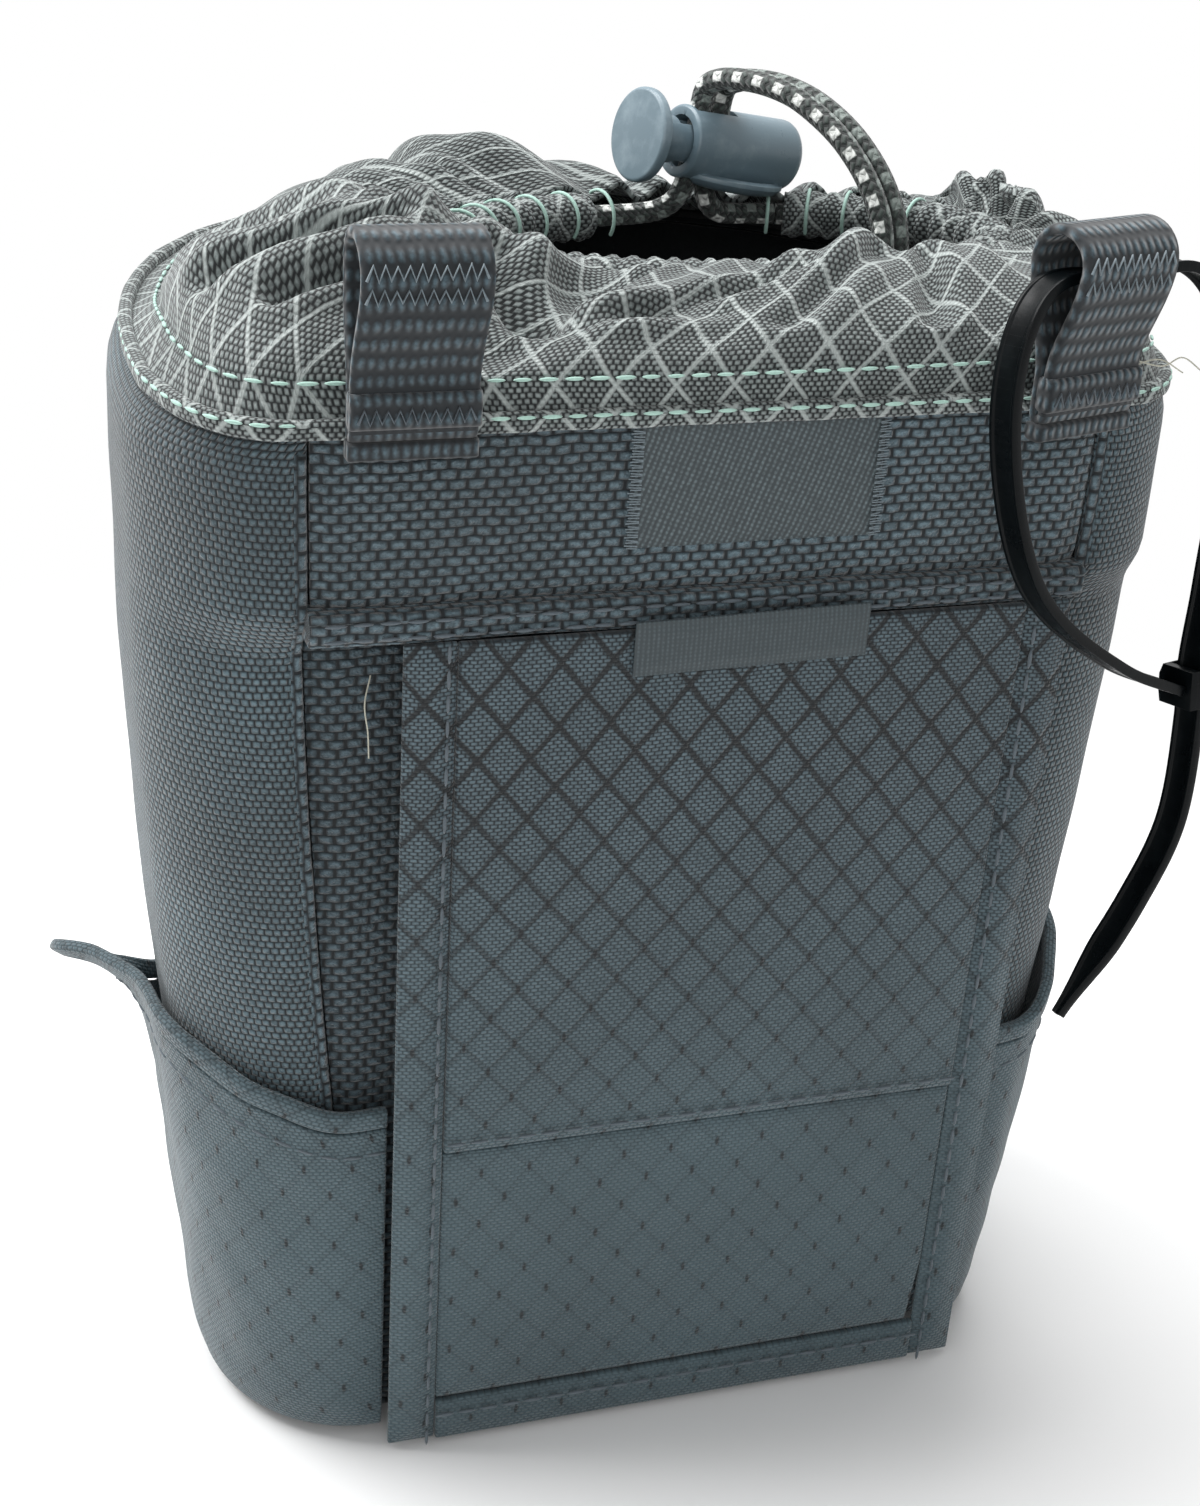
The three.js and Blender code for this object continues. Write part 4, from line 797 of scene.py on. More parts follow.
class Finishes:
    """Every material of the pouch, made once."""

    def __init__(self) -> None:
        """Makes the materials."""
        # Ballistic nylon, a heavy plain weave: each float shows as a small brick, set off from row to row.
        self.ballistic = WovenCloth("ballistic nylon 1680D", "#0b1216", "#5c7079", (0.00194, 0.00102), 0.86,
                                    relief=0.00040, roughness=0.6, sheen=0.3, waver=0.0003).build()
        # A darker copy of the same cloth for the panel behind the belt sleeve: painted shade for the recess beside and
        # behind the sleeve.
        self.ballistic_painted_shade = WovenCloth("ballistic nylon 1680D, unworn", "#090f12", "#46575f", (0.00194, 0.00102),
                                           0.86, relief=0.00040, roughness=0.62, sheen=0.25, waver=0.0003).build()
        # The same cloth on the sides and the rear, where its other face shows shorter and finer floats.
        self.ballistic_fine = WovenCloth("ballistic nylon 1680D, fine face", "#0c1418", "#546870",
                                         (0.00090, 0.00078), 0.86, relief=0.00026, roughness=0.6, sheen=0.3,
                                         waver=0.0002).build()
        # Ripstop nylon with a recessed dark lattice and short dark dashes at its nodes, for the belt sleeve and
        # the pockets. Its lower part has lost its bloom.
        self.ripstop = WovenCloth("lattice ripstop nylon, charcoal", "#161e23", "#576971", (0.00084, 0.00044), 0.9,
                                  relief=0.00010, roughness=0.6, sheen=0.25, line="#0b1013", line_width=0.00044,
                                  line_relief=-0.00010, line_share=0.95, node="#0d1215", cell=(0.0057, 0.0070),
                                  worn_below=(0.035, 0.085), worn="#42545a", cast=0.12).build()
        # The same weave in grey with raised pale lines, as the collar has. Floats are drawn a little coarse.
        self.collar = WovenCloth("lattice ripstop nylon, grey", "#15191a", "#858e8d", (0.00078, 0.00052), 0.74,
                                 relief=0.00014, roughness=0.66, sheen=0.3, line="#aeb6b4", cast=0.1).build()
        # Nylon webbing, ribbed across, with a fine comb of floats on each rib.
        self.webbing = RibbedTape("nylon webbing, black", "#0e151a", "#475a63", 0.0021, 0.00100, 0.0003,
                                  comb=0.2).build()
        # Damask label tape: a tight satin whose fine threads run at a slant.
        self.label = RibbedTape("damask label tape", "#252f33", "#5a686c", 0.00062, 0.0005, 0.00008,
                                roughness=0.5, sheen=0.15, slant=0.35).build()
        # Satin tape, smoother and shinier than the label, for the tab.
        self.tab = RibbedTape("satin label tape", "#283337", "#3f4c51", 0.00052, 0.00045, 0.00004,
                              roughness=0.45, sheen=0.1).build()
        # Acetal for the cord lock: a fine matt skin from the mould, paler where it has been handled.
        self.lock = MouldedPlastic("acetal, slate", "#6b7e88", "#8a9ba4", 0.33).build()
        # Nylon 6.6, shiny from the mould, with fine teeth across the strap.
        self.tie = MouldedPlastic("nylon 6.6, black", "#05080a", "#0c1113", 0.3, teeth_pitch=0.00105,
                                  gloss=0.12).build()
        # Polyester braid over rubber, charcoal with white pick yarns.
        self.cord = BraidedCord("elastic cord, braided", "#161c1b", "#3d4743", "#e9ece8", "#8f9a95", 0.0025).build()
        # Brushed tricot, whose nap takes a soft sheen, and open-cell foam, dull and even.
        self.lining = FibreOrFoam("brushed tricot lining", "#1a1d1f", "#303537", 0.0006, 0.0002, sheen=0.4).build()
        self.foam = FibreOrFoam("open-cell foam", "#2c2f31", "#4a4e50", 0.0005, 0.0003).build()
        # Spun polyester thread, dull and a little hairy: mint green on the collar, grey on the loops and the
        # label's edges, charcoal elsewhere, and pale where loose ends stick out.
        self.mint = FibreOrFoam("spun thread, mint", "#7fa99c", "#bcd9cf", 0.0003, 0.00005, 0.7).build()
        self.dark_thread = FibreOrFoam("spun thread, charcoal", "#39424a", "#5f6a71", 0.0003, 0.00005, 0.7).build()
        self.grey_thread = FibreOrFoam("spun thread, grey", "#4e5a61", "#86949b", 0.0003, 0.00005, 0.7).build()
        self.pale_thread = FibreOrFoam("loose thread ends, pale", "#8f9187", "#c9c6b4", 0.0003, 0.00002, 0.7).build()
        # Drawn steel wire, bright and plain, for the lock's spring.
        self.steel = FibreOrFoam("spring steel wire", "#8b9094", "#a9aeb2", 0.0004, 0.00001, 0.3, 0.0, 1.0).build()


# The pouch's own form

@dataclass(frozen=True)
class Outline:
    """Outline of the padded body, seen from above, and its main heights."""

    height: float = 0.1268
    top_half_width: float = 0.058
    base_half_width: float = 0.0485
    front_depth: float = 0.0397
    top_rear_depth: float = 0.046
    base_rear_depth: float = 0.038
    corner_radius: float = 0.015
    foot_rounding: float = 0.0018
    foot_rounding_height: float = 0.003
    band_rise: float = 0.0036
    welt_bottom: float = 0.1043
    welt_height: float = 0.0032
    wall_bottom: float = 0.0019
    corner_start_share: float = 0.25
    corner_end_share: float = 0.42
    rear_seam_share: float = 0.7
    rear_roundness: float = 2.4

    @property
    def front_y(self) -> float:
        """Front face of the side panels."""
        return -self.front_depth

    @property
    def band_y(self) -> float:
        """Front face of the top band."""
        return self.front_y - self.band_rise

    @property
    def corner_y(self) -> float:
        """Middle of the front corners' arcs."""
        return self.corner_radius - self.front_depth

    def height_share(self, z: float) -> float:
        """How far the body has widened at a height."""
        return math.sin(math.pi / 2 * clamp(z / self.height))

    def foot_inset(self, z: float) -> float:
        """How far the rounded foot draws in at a height."""
        return self.foot_rounding * clamp(1 - z / self.foot_rounding_height) ** 2

    def half_width(self, z: float) -> float:
        """Half of the body's width at a height."""
        return mix(self.base_half_width, self.top_half_width, self.height_share(z))

    def rear_depth(self, z: float) -> float:
        """Rear reach of the body at a height."""
        return mix(self.base_rear_depth, self.top_rear_depth, self.height_share(z))

    def corner_x(self, z: float) -> float:
        """Place of the front seams at a height."""
        return self.half_width(z) - self.corner_radius

    def swell(self, z: float) -> float:
        """How far the front corners come forward beside the top band."""
        return self.band_rise * smooth((z - self.welt_bottom + self.welt_height) / (2 * self.welt_height))

    def point(self, side: int, share: float, z: float, inset: float = 0.0, front_y: float | None = None) -> Vector:
        """A point of the outline.

        Args:
            side: 1 on the right and -1 on the left.
            share: From 0 in the middle of the front to 1 in the middle of the rear.
            z: Height.
            inset: How far inside the outer face.
            front_y: Place of the flat front, where it isn't the outer face's.

        Returns:
            The point.
        """
        radius = self.corner_radius - inset
        flat = self.corner_x(z)
        if front_y is None:
            front_y = self.front_y - self.swell(z) + inset
        if share <= self.corner_start_share:
            return Vector((side * flat * share / self.corner_start_share, front_y, z))
        if share <= self.corner_end_share:
            turn = (share - self.corner_start_share) / (self.corner_end_share - self.corner_start_share)
            angle = math.pi / 2 * turn
            return Vector((side * (flat + radius * math.sin(angle)),
                           self.corner_y - (self.corner_y - front_y) * math.cos(angle), z))
        angle = math.pi / 2 * min(1.0, (share - self.corner_end_share) / (1 - self.corner_end_share))
        power = 2 / self.rear_roundness
        return Vector((side * (flat + radius) * max(0.0, math.cos(angle)) ** power,
                       self.corner_y + (self.rear_depth(z) - inset - self.corner_y) * math.sin(angle) ** power, z))

    def ring(self, turn: float, z: float, inset: float = 0.0, front_y: float | None = None) -> Vector:
        """A point of the whole ring: turn runs from -1 in the rear over 0 in front to 1 in the rear."""
        return self.point(-1 if turn < 0 else 1, abs(turn), z, inset, front_y)


OUTLINE = Outline()


def seam_roll(distance: float, reach: float, depth: float) -> float:
    """How far cloth dips beside a seam, at a distance from it."""
    return depth * (1 - smooth(distance / reach)) ** 1.5


def behind_sides(share: float) -> float:
    """0 in front and on the sides and 1 in the rear, for a share from the front to the rear."""
    return smooth((share - 0.27) / 0.12)


@dataclass
class Shell:
    """Outer panels of the padded body, the pads in them and the lining."""

    finishes: Finishes
    fabric: float = 0.0012
    belt_setback: float = 0.0007
    seam_gap: float = 0.0003
    crown: float = 0.00045
    wrinkle: float = 0.00035
    foam_inset: float = 0.0015
    foam: float = 0.0045
    pad_bottom: float = 0.0072
    pad_top: float = 0.1258
    lining_inset: float = 0.0063
    lining: float = 0.0008
    dip: float = 0.0008
    shoulder: float = 0.0030
    shoulder_height: float = 0.0062
    shoulder_power: float = 2.4
    dip_reach: float = 0.0032
    side_dip_share: float = 0.75
    top_dip_share: float = 0.3
    side_girth: float = 0.075
    half_rear_girth: float = 0.045
    wall_height: float = 0.125
    wrinkle_size: float = 0.026
    crease_size: float = 0.009
    crease_share: float = 0.45
    calm_width: float = 0.01
    wall_edge: float = 0.00035
    plate_edge: float = 0.0003

    def build(self) -> None:
        """Makes and dresses the panels, pads and lining."""
        for side in Side:
            self.side_panel(side)
        self.rear_panel()
        self.belt_panel()
        self.top_band()
        self.welt()
        self.base()
        self.pads()
        self.inside()

    def shoulder_inset(self, share: float, z: float) -> float:
        """How far the soft top edge draws in at the sides and the rear."""
        near_top = clamp((z - OUTLINE.height + self.shoulder_height) / self.shoulder_height)
        return self.shoulder * near_top ** self.shoulder_power * behind_sides(share)

    def cloth_lift(self, point: Vector, seed: float) -> float:
        """Small wrinkles of a panel at a point."""
        return self.wrinkle * (drift(point, self.wrinkle_size, seed)
                               + self.crease_share * drift(point, self.crease_size, seed + 3))

    def side_panel(self, side: Side) -> None:
        """The wall from a front seam round the corner to the rear seam."""
        form = OUTLINE

        def face(depth: float) -> Surface:
            def at(u: float, v: float) -> Vector:
                z = mix(form.wall_bottom, form.height, v)
                share = mix(form.corner_start_share, form.rear_seam_share, u)
                seam = min(u, 1 - u) * self.side_girth
                inset = depth + form.foot_inset(z) + self.shoulder_inset(share, z)
                if depth == 0:
                    place = form.point(side.value, share, z)
                    inset += (seam_roll(seam, self.dip_reach, self.side_dip_share * self.dip)
                              - self.crown * math.sin(math.pi * u))
                    inset -= self.cloth_lift(place, 5.0 + side.value) * smooth(seam / self.calm_width)
                    inset += seam_roll((1 - v) * self.wall_height, self.dip_reach, self.top_dip_share * self.dip)
                return form.point(side.value, share, z, inset, form.front_y + inset - form.swell(z))
            return at
        name = f"{side.word}_side_panel"
        piece = sheet_piece(f"{name}_cloth", face(0.0), face(self.fabric), 72, 84)
        bevel(piece, self.wall_edge)
        dress(piece, self.finishes.ballistic_fine, name)

    def rear_panel(self) -> None:
        """The rounded wall between the rear seams."""
        form = OUTLINE
        gap_share = 2 * self.seam_gap / (form.top_half_width + form.top_rear_depth)

        def face(depth: float) -> Surface:
            def at(u: float, v: float) -> Vector:
                z = mix(form.wall_bottom, form.height, v)
                turn = 2 * u - 1
                share = mix(1, form.rear_seam_share + gap_share, abs(turn))
                inset = depth + form.foot_inset(z) + self.shoulder_inset(share, z)
                if depth == 0:
                    seam = (1 - abs(turn)) * self.half_rear_girth
                    place = form.point(-1 if turn < 0 else 1, share, z)
                    inset += (seam_roll(seam, self.dip_reach, self.side_dip_share * self.dip)
                              - self.crown * math.sin(math.pi * u))
                    inset -= self.cloth_lift(place, 9.0) * smooth(seam / self.calm_width)
                return form.point(-1 if turn < 0 else 1, share, z, inset)
            return at
        piece = sheet_piece("rounded_panel_cloth", face(0.0), face(self.fabric), 90, 84)
        bevel(piece, self.wall_edge)
        dress(piece, self.finishes.ballistic_fine, "rounded_panel")

    def front_plate(self, name: str, low: float, high: float, y: float, lift: float, seed: float) -> Object:
        """A flat panel between the front seams, whose edges roll into them."""
        form = OUTLINE

        def face(depth: float) -> Surface:
            def at(u: float, v: float) -> Vector:
                z = mix(low, high, v)
                reach = form.corner_x(z) - form.foot_inset(z) - self.seam_gap
                x = mix(-reach, reach, u)
                if depth:
                    return Vector((x, y + depth, z))
                seam = reach - abs(x)
                place = Vector((x, y, z))
                push = seam_roll(seam, self.dip_reach, self.dip) - lift * math.sin(math.pi * v) ** 0.5
                push += seam_roll(min(z - low, high - z), 0.002, 0.4 * self.dip)
                return Vector((x, y + push - 0.5 * self.cloth_lift(place, seed) * smooth(seam / 0.006), z))
            return at
        return bevel(sheet_piece(name, face(0.0), face(self.fabric), 96, 40), self.plate_edge)

    def belt_panel(self) -> None:
        """The panel behind the belt sleeve."""
        form = OUTLINE
        piece = self.front_plate("belt_panel_cloth", form.wall_bottom, form.welt_bottom - self.seam_gap,
                                 form.front_y + self.belt_setback, 0.0001, 2.0)
        # The darker copy of the nylon is painted shade for the recess behind the sleeve.
        dress(piece, self.finishes.ballistic_painted_shade, "belt_panel")

    def top_band(self) -> None:
        """The raised band between the welt and the collar."""
        form = OUTLINE
        low = form.welt_bottom + form.welt_height + self.seam_gap
        piece = self.front_plate("top_band_cloth", low, form.height, form.band_y, 0.0002, 6.0)
        dress(piece, self.finishes.ballistic, "top_band_panel")

    def welt(self) -> None:
        """The folded welt under the band, a soft roll with a flat face."""
        form = OUTLINE
        reach = form.corner_x(form.welt_bottom) + 0.0004
        front, back = form.band_y - 0.0018, form.front_y + self.belt_setback + self.fabric
        middle = Vector((0, (front + back) / 2, form.welt_bottom + form.welt_height / 2))

        def at(share: float) -> Step:
            place = middle + Vector((mix(-reach, reach, share), 0, 0))
            sag = 0.00012 * drift(place, 0.012, 4.0)
            plump = 1 + 0.03 * drift(place, 0.006, 8.0)
            return ((place + Vector((0, sag, 0.7 * sag)), FRONT, UP),
                    rounded_section((back - front) / 2 - 0.0002, (form.welt_height / 2 + 0.00025) * plump, 0.0009, 4))
        piece = roll_piece("top_welt_roll", 120, at)
        dress(bevel(piece, self.plate_edge), self.finishes.ballistic, "top_welt")
        for side in Side:
            self.seam_welt(side)

    def seam_welt(self, side: Side) -> None:
        """The thin rolled edge along a front seam."""
        form = OUTLINE

        def at(share: float) -> Step:
            z = mix(form.wall_bottom, form.height - 0.0028, share)
            x = form.corner_x(z) + 0.0009
            place = Vector((side.value * x, form.front_y - form.swell(z) + 0.0007, z))
            plump = 1 + 0.12 * drift(place, 0.005, 3.0)
            return (place, Vector((side.value, 0, 0)), FRONT), oval(0.0009 * plump, 0.0005 * plump, 10)
        piece = roll_piece(f"{side.word}_seam_roll", 110, at)
        dress(piece, self.finishes.ballistic, f"{side.word}_front_seam")

    def plate(self, name: str, low: float, high: float, inset: float, front_y: float | None, puff: float) -> Object:
        """A flat closed plate with the body's outline and a rounded, slightly crowned rim.

        Args:
            name: Name of the piece.
            low: Its underside.
            high: Its top.
            inset: How far inside the outer face its edge is.
            front_y: Place of its flat front, where it isn't the outline's.
            puff: How far its rim is rounded.

        Returns:
            The piece.
        """
        columns, rings = 96, 5
        ring = [OUTLINE.ring(2 * i / columns - 1, 0.0, inset, front_y) for i in range(columns)]
        levels = []
        for face, sign in ((low, 1), (high, -1)):
            rows = []
            for j in range(rings + 1):
                share = j / rings
                scale = 1 - 0.94 * share ** 1.2
                rim = 1 - min(1.0, share * rings / 2) ** 2
                rows.append([Vector((p.x * scale, p.y * scale, face + sign * puff * rim)) for p in ring])
            levels.append(rows)
        return disc_piece(name, [*reversed(levels[0]), *levels[1]])

    def base(self) -> None:
        """The bottom panel."""
        piece = self.plate("base_panel_cloth", 0.0, 0.0016, OUTLINE.foot_rounding, None, 0.0004)
        dress(piece, self.finishes.ballistic, "base_panel")

    def pad_wall(self, name: str, at_share: Callable[[float, float, float], Vector], columns: int,
                 rows: int, low: float, high: float) -> None:
        """A foam pad between two insets, thinned and rounded at its edges.

        Args:
            name: The CAD pad that it stands for.
            at_share: Gives a point for a share along, a height and a share of the pad's thickness.
            columns: Steps along it.
            rows: Steps up it.
            low: Its bottom.
            high: Its top.
        """
        def face(depth_share: float) -> Surface:
            def at(u: float, v: float) -> Vector:
                z = mix(low, high, v)
                edge = min(1.0, 9 * min(u, 1 - u)) * min(1.0, 22 * min(v, 1 - v))
                thin = 0.28 * (1 - math.sqrt(max(0.0, 1 - (1 - edge) ** 2)))
                ripple = 0.02 * drift(Vector((u, v, depth_share)), 0.2, 7.0)
                return at_share(u, z, mix(0.5, depth_share, 0.96 - 2 * thin) + ripple)
            return at
        piece = sheet_piece(f"{name}_foam", face(0.0), face(1.0), columns, rows)
        dress(bevel(piece, 0.0005), self.finishes.foam, name)

    def pads(self) -> None:
        """All the foam pads between the outer panels and the lining."""
        form = OUTLINE
        inner = self.foam_inset + self.foam
        for side in Side:
            def wall(u: float, z: float, t: float, side: Side = side) -> Vector:
                share = mix(form.corner_start_share + 0.002, form.rear_seam_share - 0.002, u)
                inset = mix(self.foam_inset, inner, t)
                return form.point(side.value, share, z, inset, form.front_y + inset)
            self.pad_wall(f"{side.word}_pad", wall, 40, 40, self.pad_bottom, self.pad_top)

        def rear(u: float, z: float, t: float) -> Vector:
            turn = 2 * u - 1
            share = mix(1, form.rear_seam_share + 0.008, abs(turn))
            return form.point(-1 if turn < 0 else 1, share, z, mix(self.foam_inset, inner, t))
        self.pad_wall("rounded_pad", rear, 60, 40, self.pad_bottom, self.pad_top)
        belt_low, belt_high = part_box("belt_side_pad")
        band_low, band_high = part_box("top_band_pad")
        for name, low, high in (("belt_side_pad", belt_low, belt_high), ("top_band_pad", band_low, band_high)):
            def front(u: float, z: float, t: float, low: Vector = low, high: Vector = high) -> Vector:
                reach = form.corner_x(z) - 2 * self.seam_gap
                return Vector((mix(-reach, reach, u), mix(low.y, high.y, t), z))
            self.pad_wall(name, front, 40, 30, low.z, high.z)
        low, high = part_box("base_pad")
        pad = self.plate("base_pad_foam", low.z, high.z, self.foam_inset + form.foot_rounding, low.y, 0.0008)
        dress(pad, self.finishes.foam, "base_pad")

    def inside(self) -> None:
        """The lining's wall and floor, and the facing that closes the wall's top."""
        form = OUTLINE
        wall_low, wall_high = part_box("lining_wall")
        front = wall_low.y

        def ring(z0: float, z1: float, inset: float, front_y: float, ripple: float) -> Surface:
            def at(u: float, v: float) -> Vector:
                z = mix(z0, z1, v)
                place = form.ring(2 * u - 1, z, inset, front_y)
                lift = ripple * (drift(place, 0.02, 12.0) + 0.5 * drift(place, 0.007, 13.0))
                return form.ring(2 * u - 1, z, inset + lift, front_y + lift)
            return at
        inner_inset, inner_front = self.lining_inset + self.lining, front + self.lining
        wall = sheet_piece("lining_wall_cloth", ring(wall_low.z, wall_high.z, self.lining_inset, front, 0.0),
                           ring(wall_low.z, wall_high.z, inner_inset, inner_front, 0.0006), 140, 60, ring=True)
        dress(wall, self.finishes.lining, "lining_wall")
        low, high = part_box("lining_floor")
        floor = self.plate("lining_floor_cloth", low.z, high.z, self.lining_inset + self.seam_gap,
                           front + self.seam_gap, 0.0002)
        dress(floor, self.finishes.lining, "lining_floor")
        low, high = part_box("top_facing")
        facing = sheet_piece("top_facing_tape", ring(low.z, high.z, self.foam_inset, form.band_y + self.foam_inset, 0),
                             ring(low.z, high.z, inner_inset, inner_front, 0.0), 140, 2, ring=True)
        dress(bevel(facing, 0.0002), self.finishes.lining, "top_facing")


@dataclass
class BeltSleeve:
    """The raised belt sleeve on the flat side: two folded strips, two panels and a hem."""

    finishes: Finishes
    half_width: float = 0.0375
    offset: float = 0.004
    narrowing: float = 0.0009
    strip_width: float = 0.0056
    face_y: float = -0.0456
    inner_y: float = -0.0447
    lap_proud: float = 0.0005
    lap_height: float = 0.042
    foot: float = 0.0008
    hem_height: float = 0.0056
    gap: float = 0.0003
    sewn_back: float = -0.0393
    roll_reach: float = 0.0018
    roll_depth: float = 0.00022
    billow_reach: float = 0.012
    row_height: float = 0.0012

    def edge(self, side: int, z: float) -> float:
        """Place of the sleeve's edge at a height."""
        half = self.half_width - self.narrowing * (1 - z / OUTLINE.welt_bottom)
        return self.offset + side * half

    def build(self) -> None:
        """Makes and dresses the five pieces."""
        top = OUTLINE.welt_bottom - 0.2 * self.gap

        def inner(side: int, gap: float) -> Callable[[float], float]:
            return lambda z: self.edge(side, z) - side * self.strip_width - side * gap

        def deep_right(z: float) -> float:
            return min(panel_right(z), OUTLINE.corner_x(z) - self.gap)
        panel_left, panel_right = inner(-1, 0.2 * self.gap), inner(1, 0.2 * self.gap)
        hem_top = self.foot + self.hem_height
        proud = self.face_y - self.lap_proud
        for name, left, right in (("sleeve_left_strip", lambda z: self.edge(-1, z), inner(-1, 0.0)),
                                  ("sleeve_right_strip", inner(1, 0.0), lambda z: self.edge(1, z))):
            self.plate(name, left, right, self.foot, top, self.face_y, self.inner_y, 24, 0.00045)
        self.plate("sleeve_upper_panel", panel_left, panel_right, self.lap_height, top, proud, self.inner_y, 90, 0.0004)
        self.plate("sleeve_lower_panel", panel_left, deep_right, hem_top + self.gap, self.lap_height - self.gap,
                   self.face_y, self.sewn_back, 90, 0.0003)
        self.plate("sleeve_bottom_hem", panel_left, panel_right, self.foot, hem_top, proud, self.inner_y, 90, 0.0003)

    def plate(self, name: str, left: Callable[[float], float], right: Callable[[float], float], low: float, high: float,
              face_y: float, back_y: float, columns: int, crown: float) -> None:
        """One piece of the sleeve, pillowed between its seams.

        Args:
            name: The CAD node that it stands for.
            left: Its left edge at a height.
            right: Its right edge at a height.
            low: Its bottom.
            high: Its top.
            face_y: Its outer face.
            back_y: Its inner face.
            columns: Steps across it.
            crown: How far its middle stands proud.
        """
        width = right(high) - left(high)

        def face(y: float, lift: float) -> Surface:
            def at(u: float, v: float) -> Vector:
                z = mix(low, high, v)
                x = mix(left(z), right(z), u)
                place = Vector((x, y, z))
                seam = min(min(u, 1 - u) * width, z - low, high - z)
                roll = seam_roll(seam, self.roll_reach, self.roll_depth)
                billow = crown * smooth(seam / min(self.billow_reach, width / 2))
                wrinkle = 0.00025 * drift(place, 0.022, 3.0) + 0.0001 * drift(place, 0.006, 5.0)
                return place + Vector((0, lift * (roll - billow - wrinkle * smooth(seam / 0.003)), 0))
            return at
        rows = max(8, round((high - low) / self.row_height))
        piece = sheet_piece(f"{name}_cloth", face(face_y, 1.0), face(back_y, 0.0), columns, rows,
                            places=lambda u, v: (mix(left(mix(low, high, v)), right(mix(low, high, v)), u),
                                                 mix(low, high, v)))
        bevel(piece, min(0.0003, (back_y - face_y) / 3))
        dress(piece, self.finishes.ripstop, name)


@dataclass
class Labels:
    """The bare woven label on the band and the bare tab label under the welt."""

    finishes: Finishes
    band_label_top: float = 0.1261
    tab_turn: float = 0.02
    curl: float = 0.00018
    edge_drop: float = 0.0002
    edge_width: float = 0.0015

    def build(self) -> None:
        """Makes and dresses both labels."""
        for name, turn, finish, top in (("woven_label", 0.0, self.finishes.label, self.band_label_top),
                                        ("tab_label", self.tab_turn, self.finishes.tab, None)):
            low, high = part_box(name)
            if top:
                high.z = top

            def face(back: bool, low: Vector = low, high: Vector = high, turn: float = turn) -> Surface:
                def at(u: float, v: float) -> Vector:
                    x, z = mix(low.x, high.x, u), mix(low.z, high.z, v)
                    edge = min(min(u, 1 - u) * (high.x - low.x), min(v, 1 - v) * (high.z - low.z))
                    curl = self.curl * drift(Vector((x, 0, z)), 0.008, 2.0)
                    curl -= self.edge_drop * (1 - smooth(edge / self.edge_width))
                    y = high.y if back else low.y + 0.00015 - curl
                    return Vector((x, y, z + turn * (x - low.x - (high.x - low.x) / 2)))
                return at
            piece = sheet_piece(f"{name}_tape", face(False), face(True), 60, 28)
            dress(bevel(piece, 0.00025), finish, name)


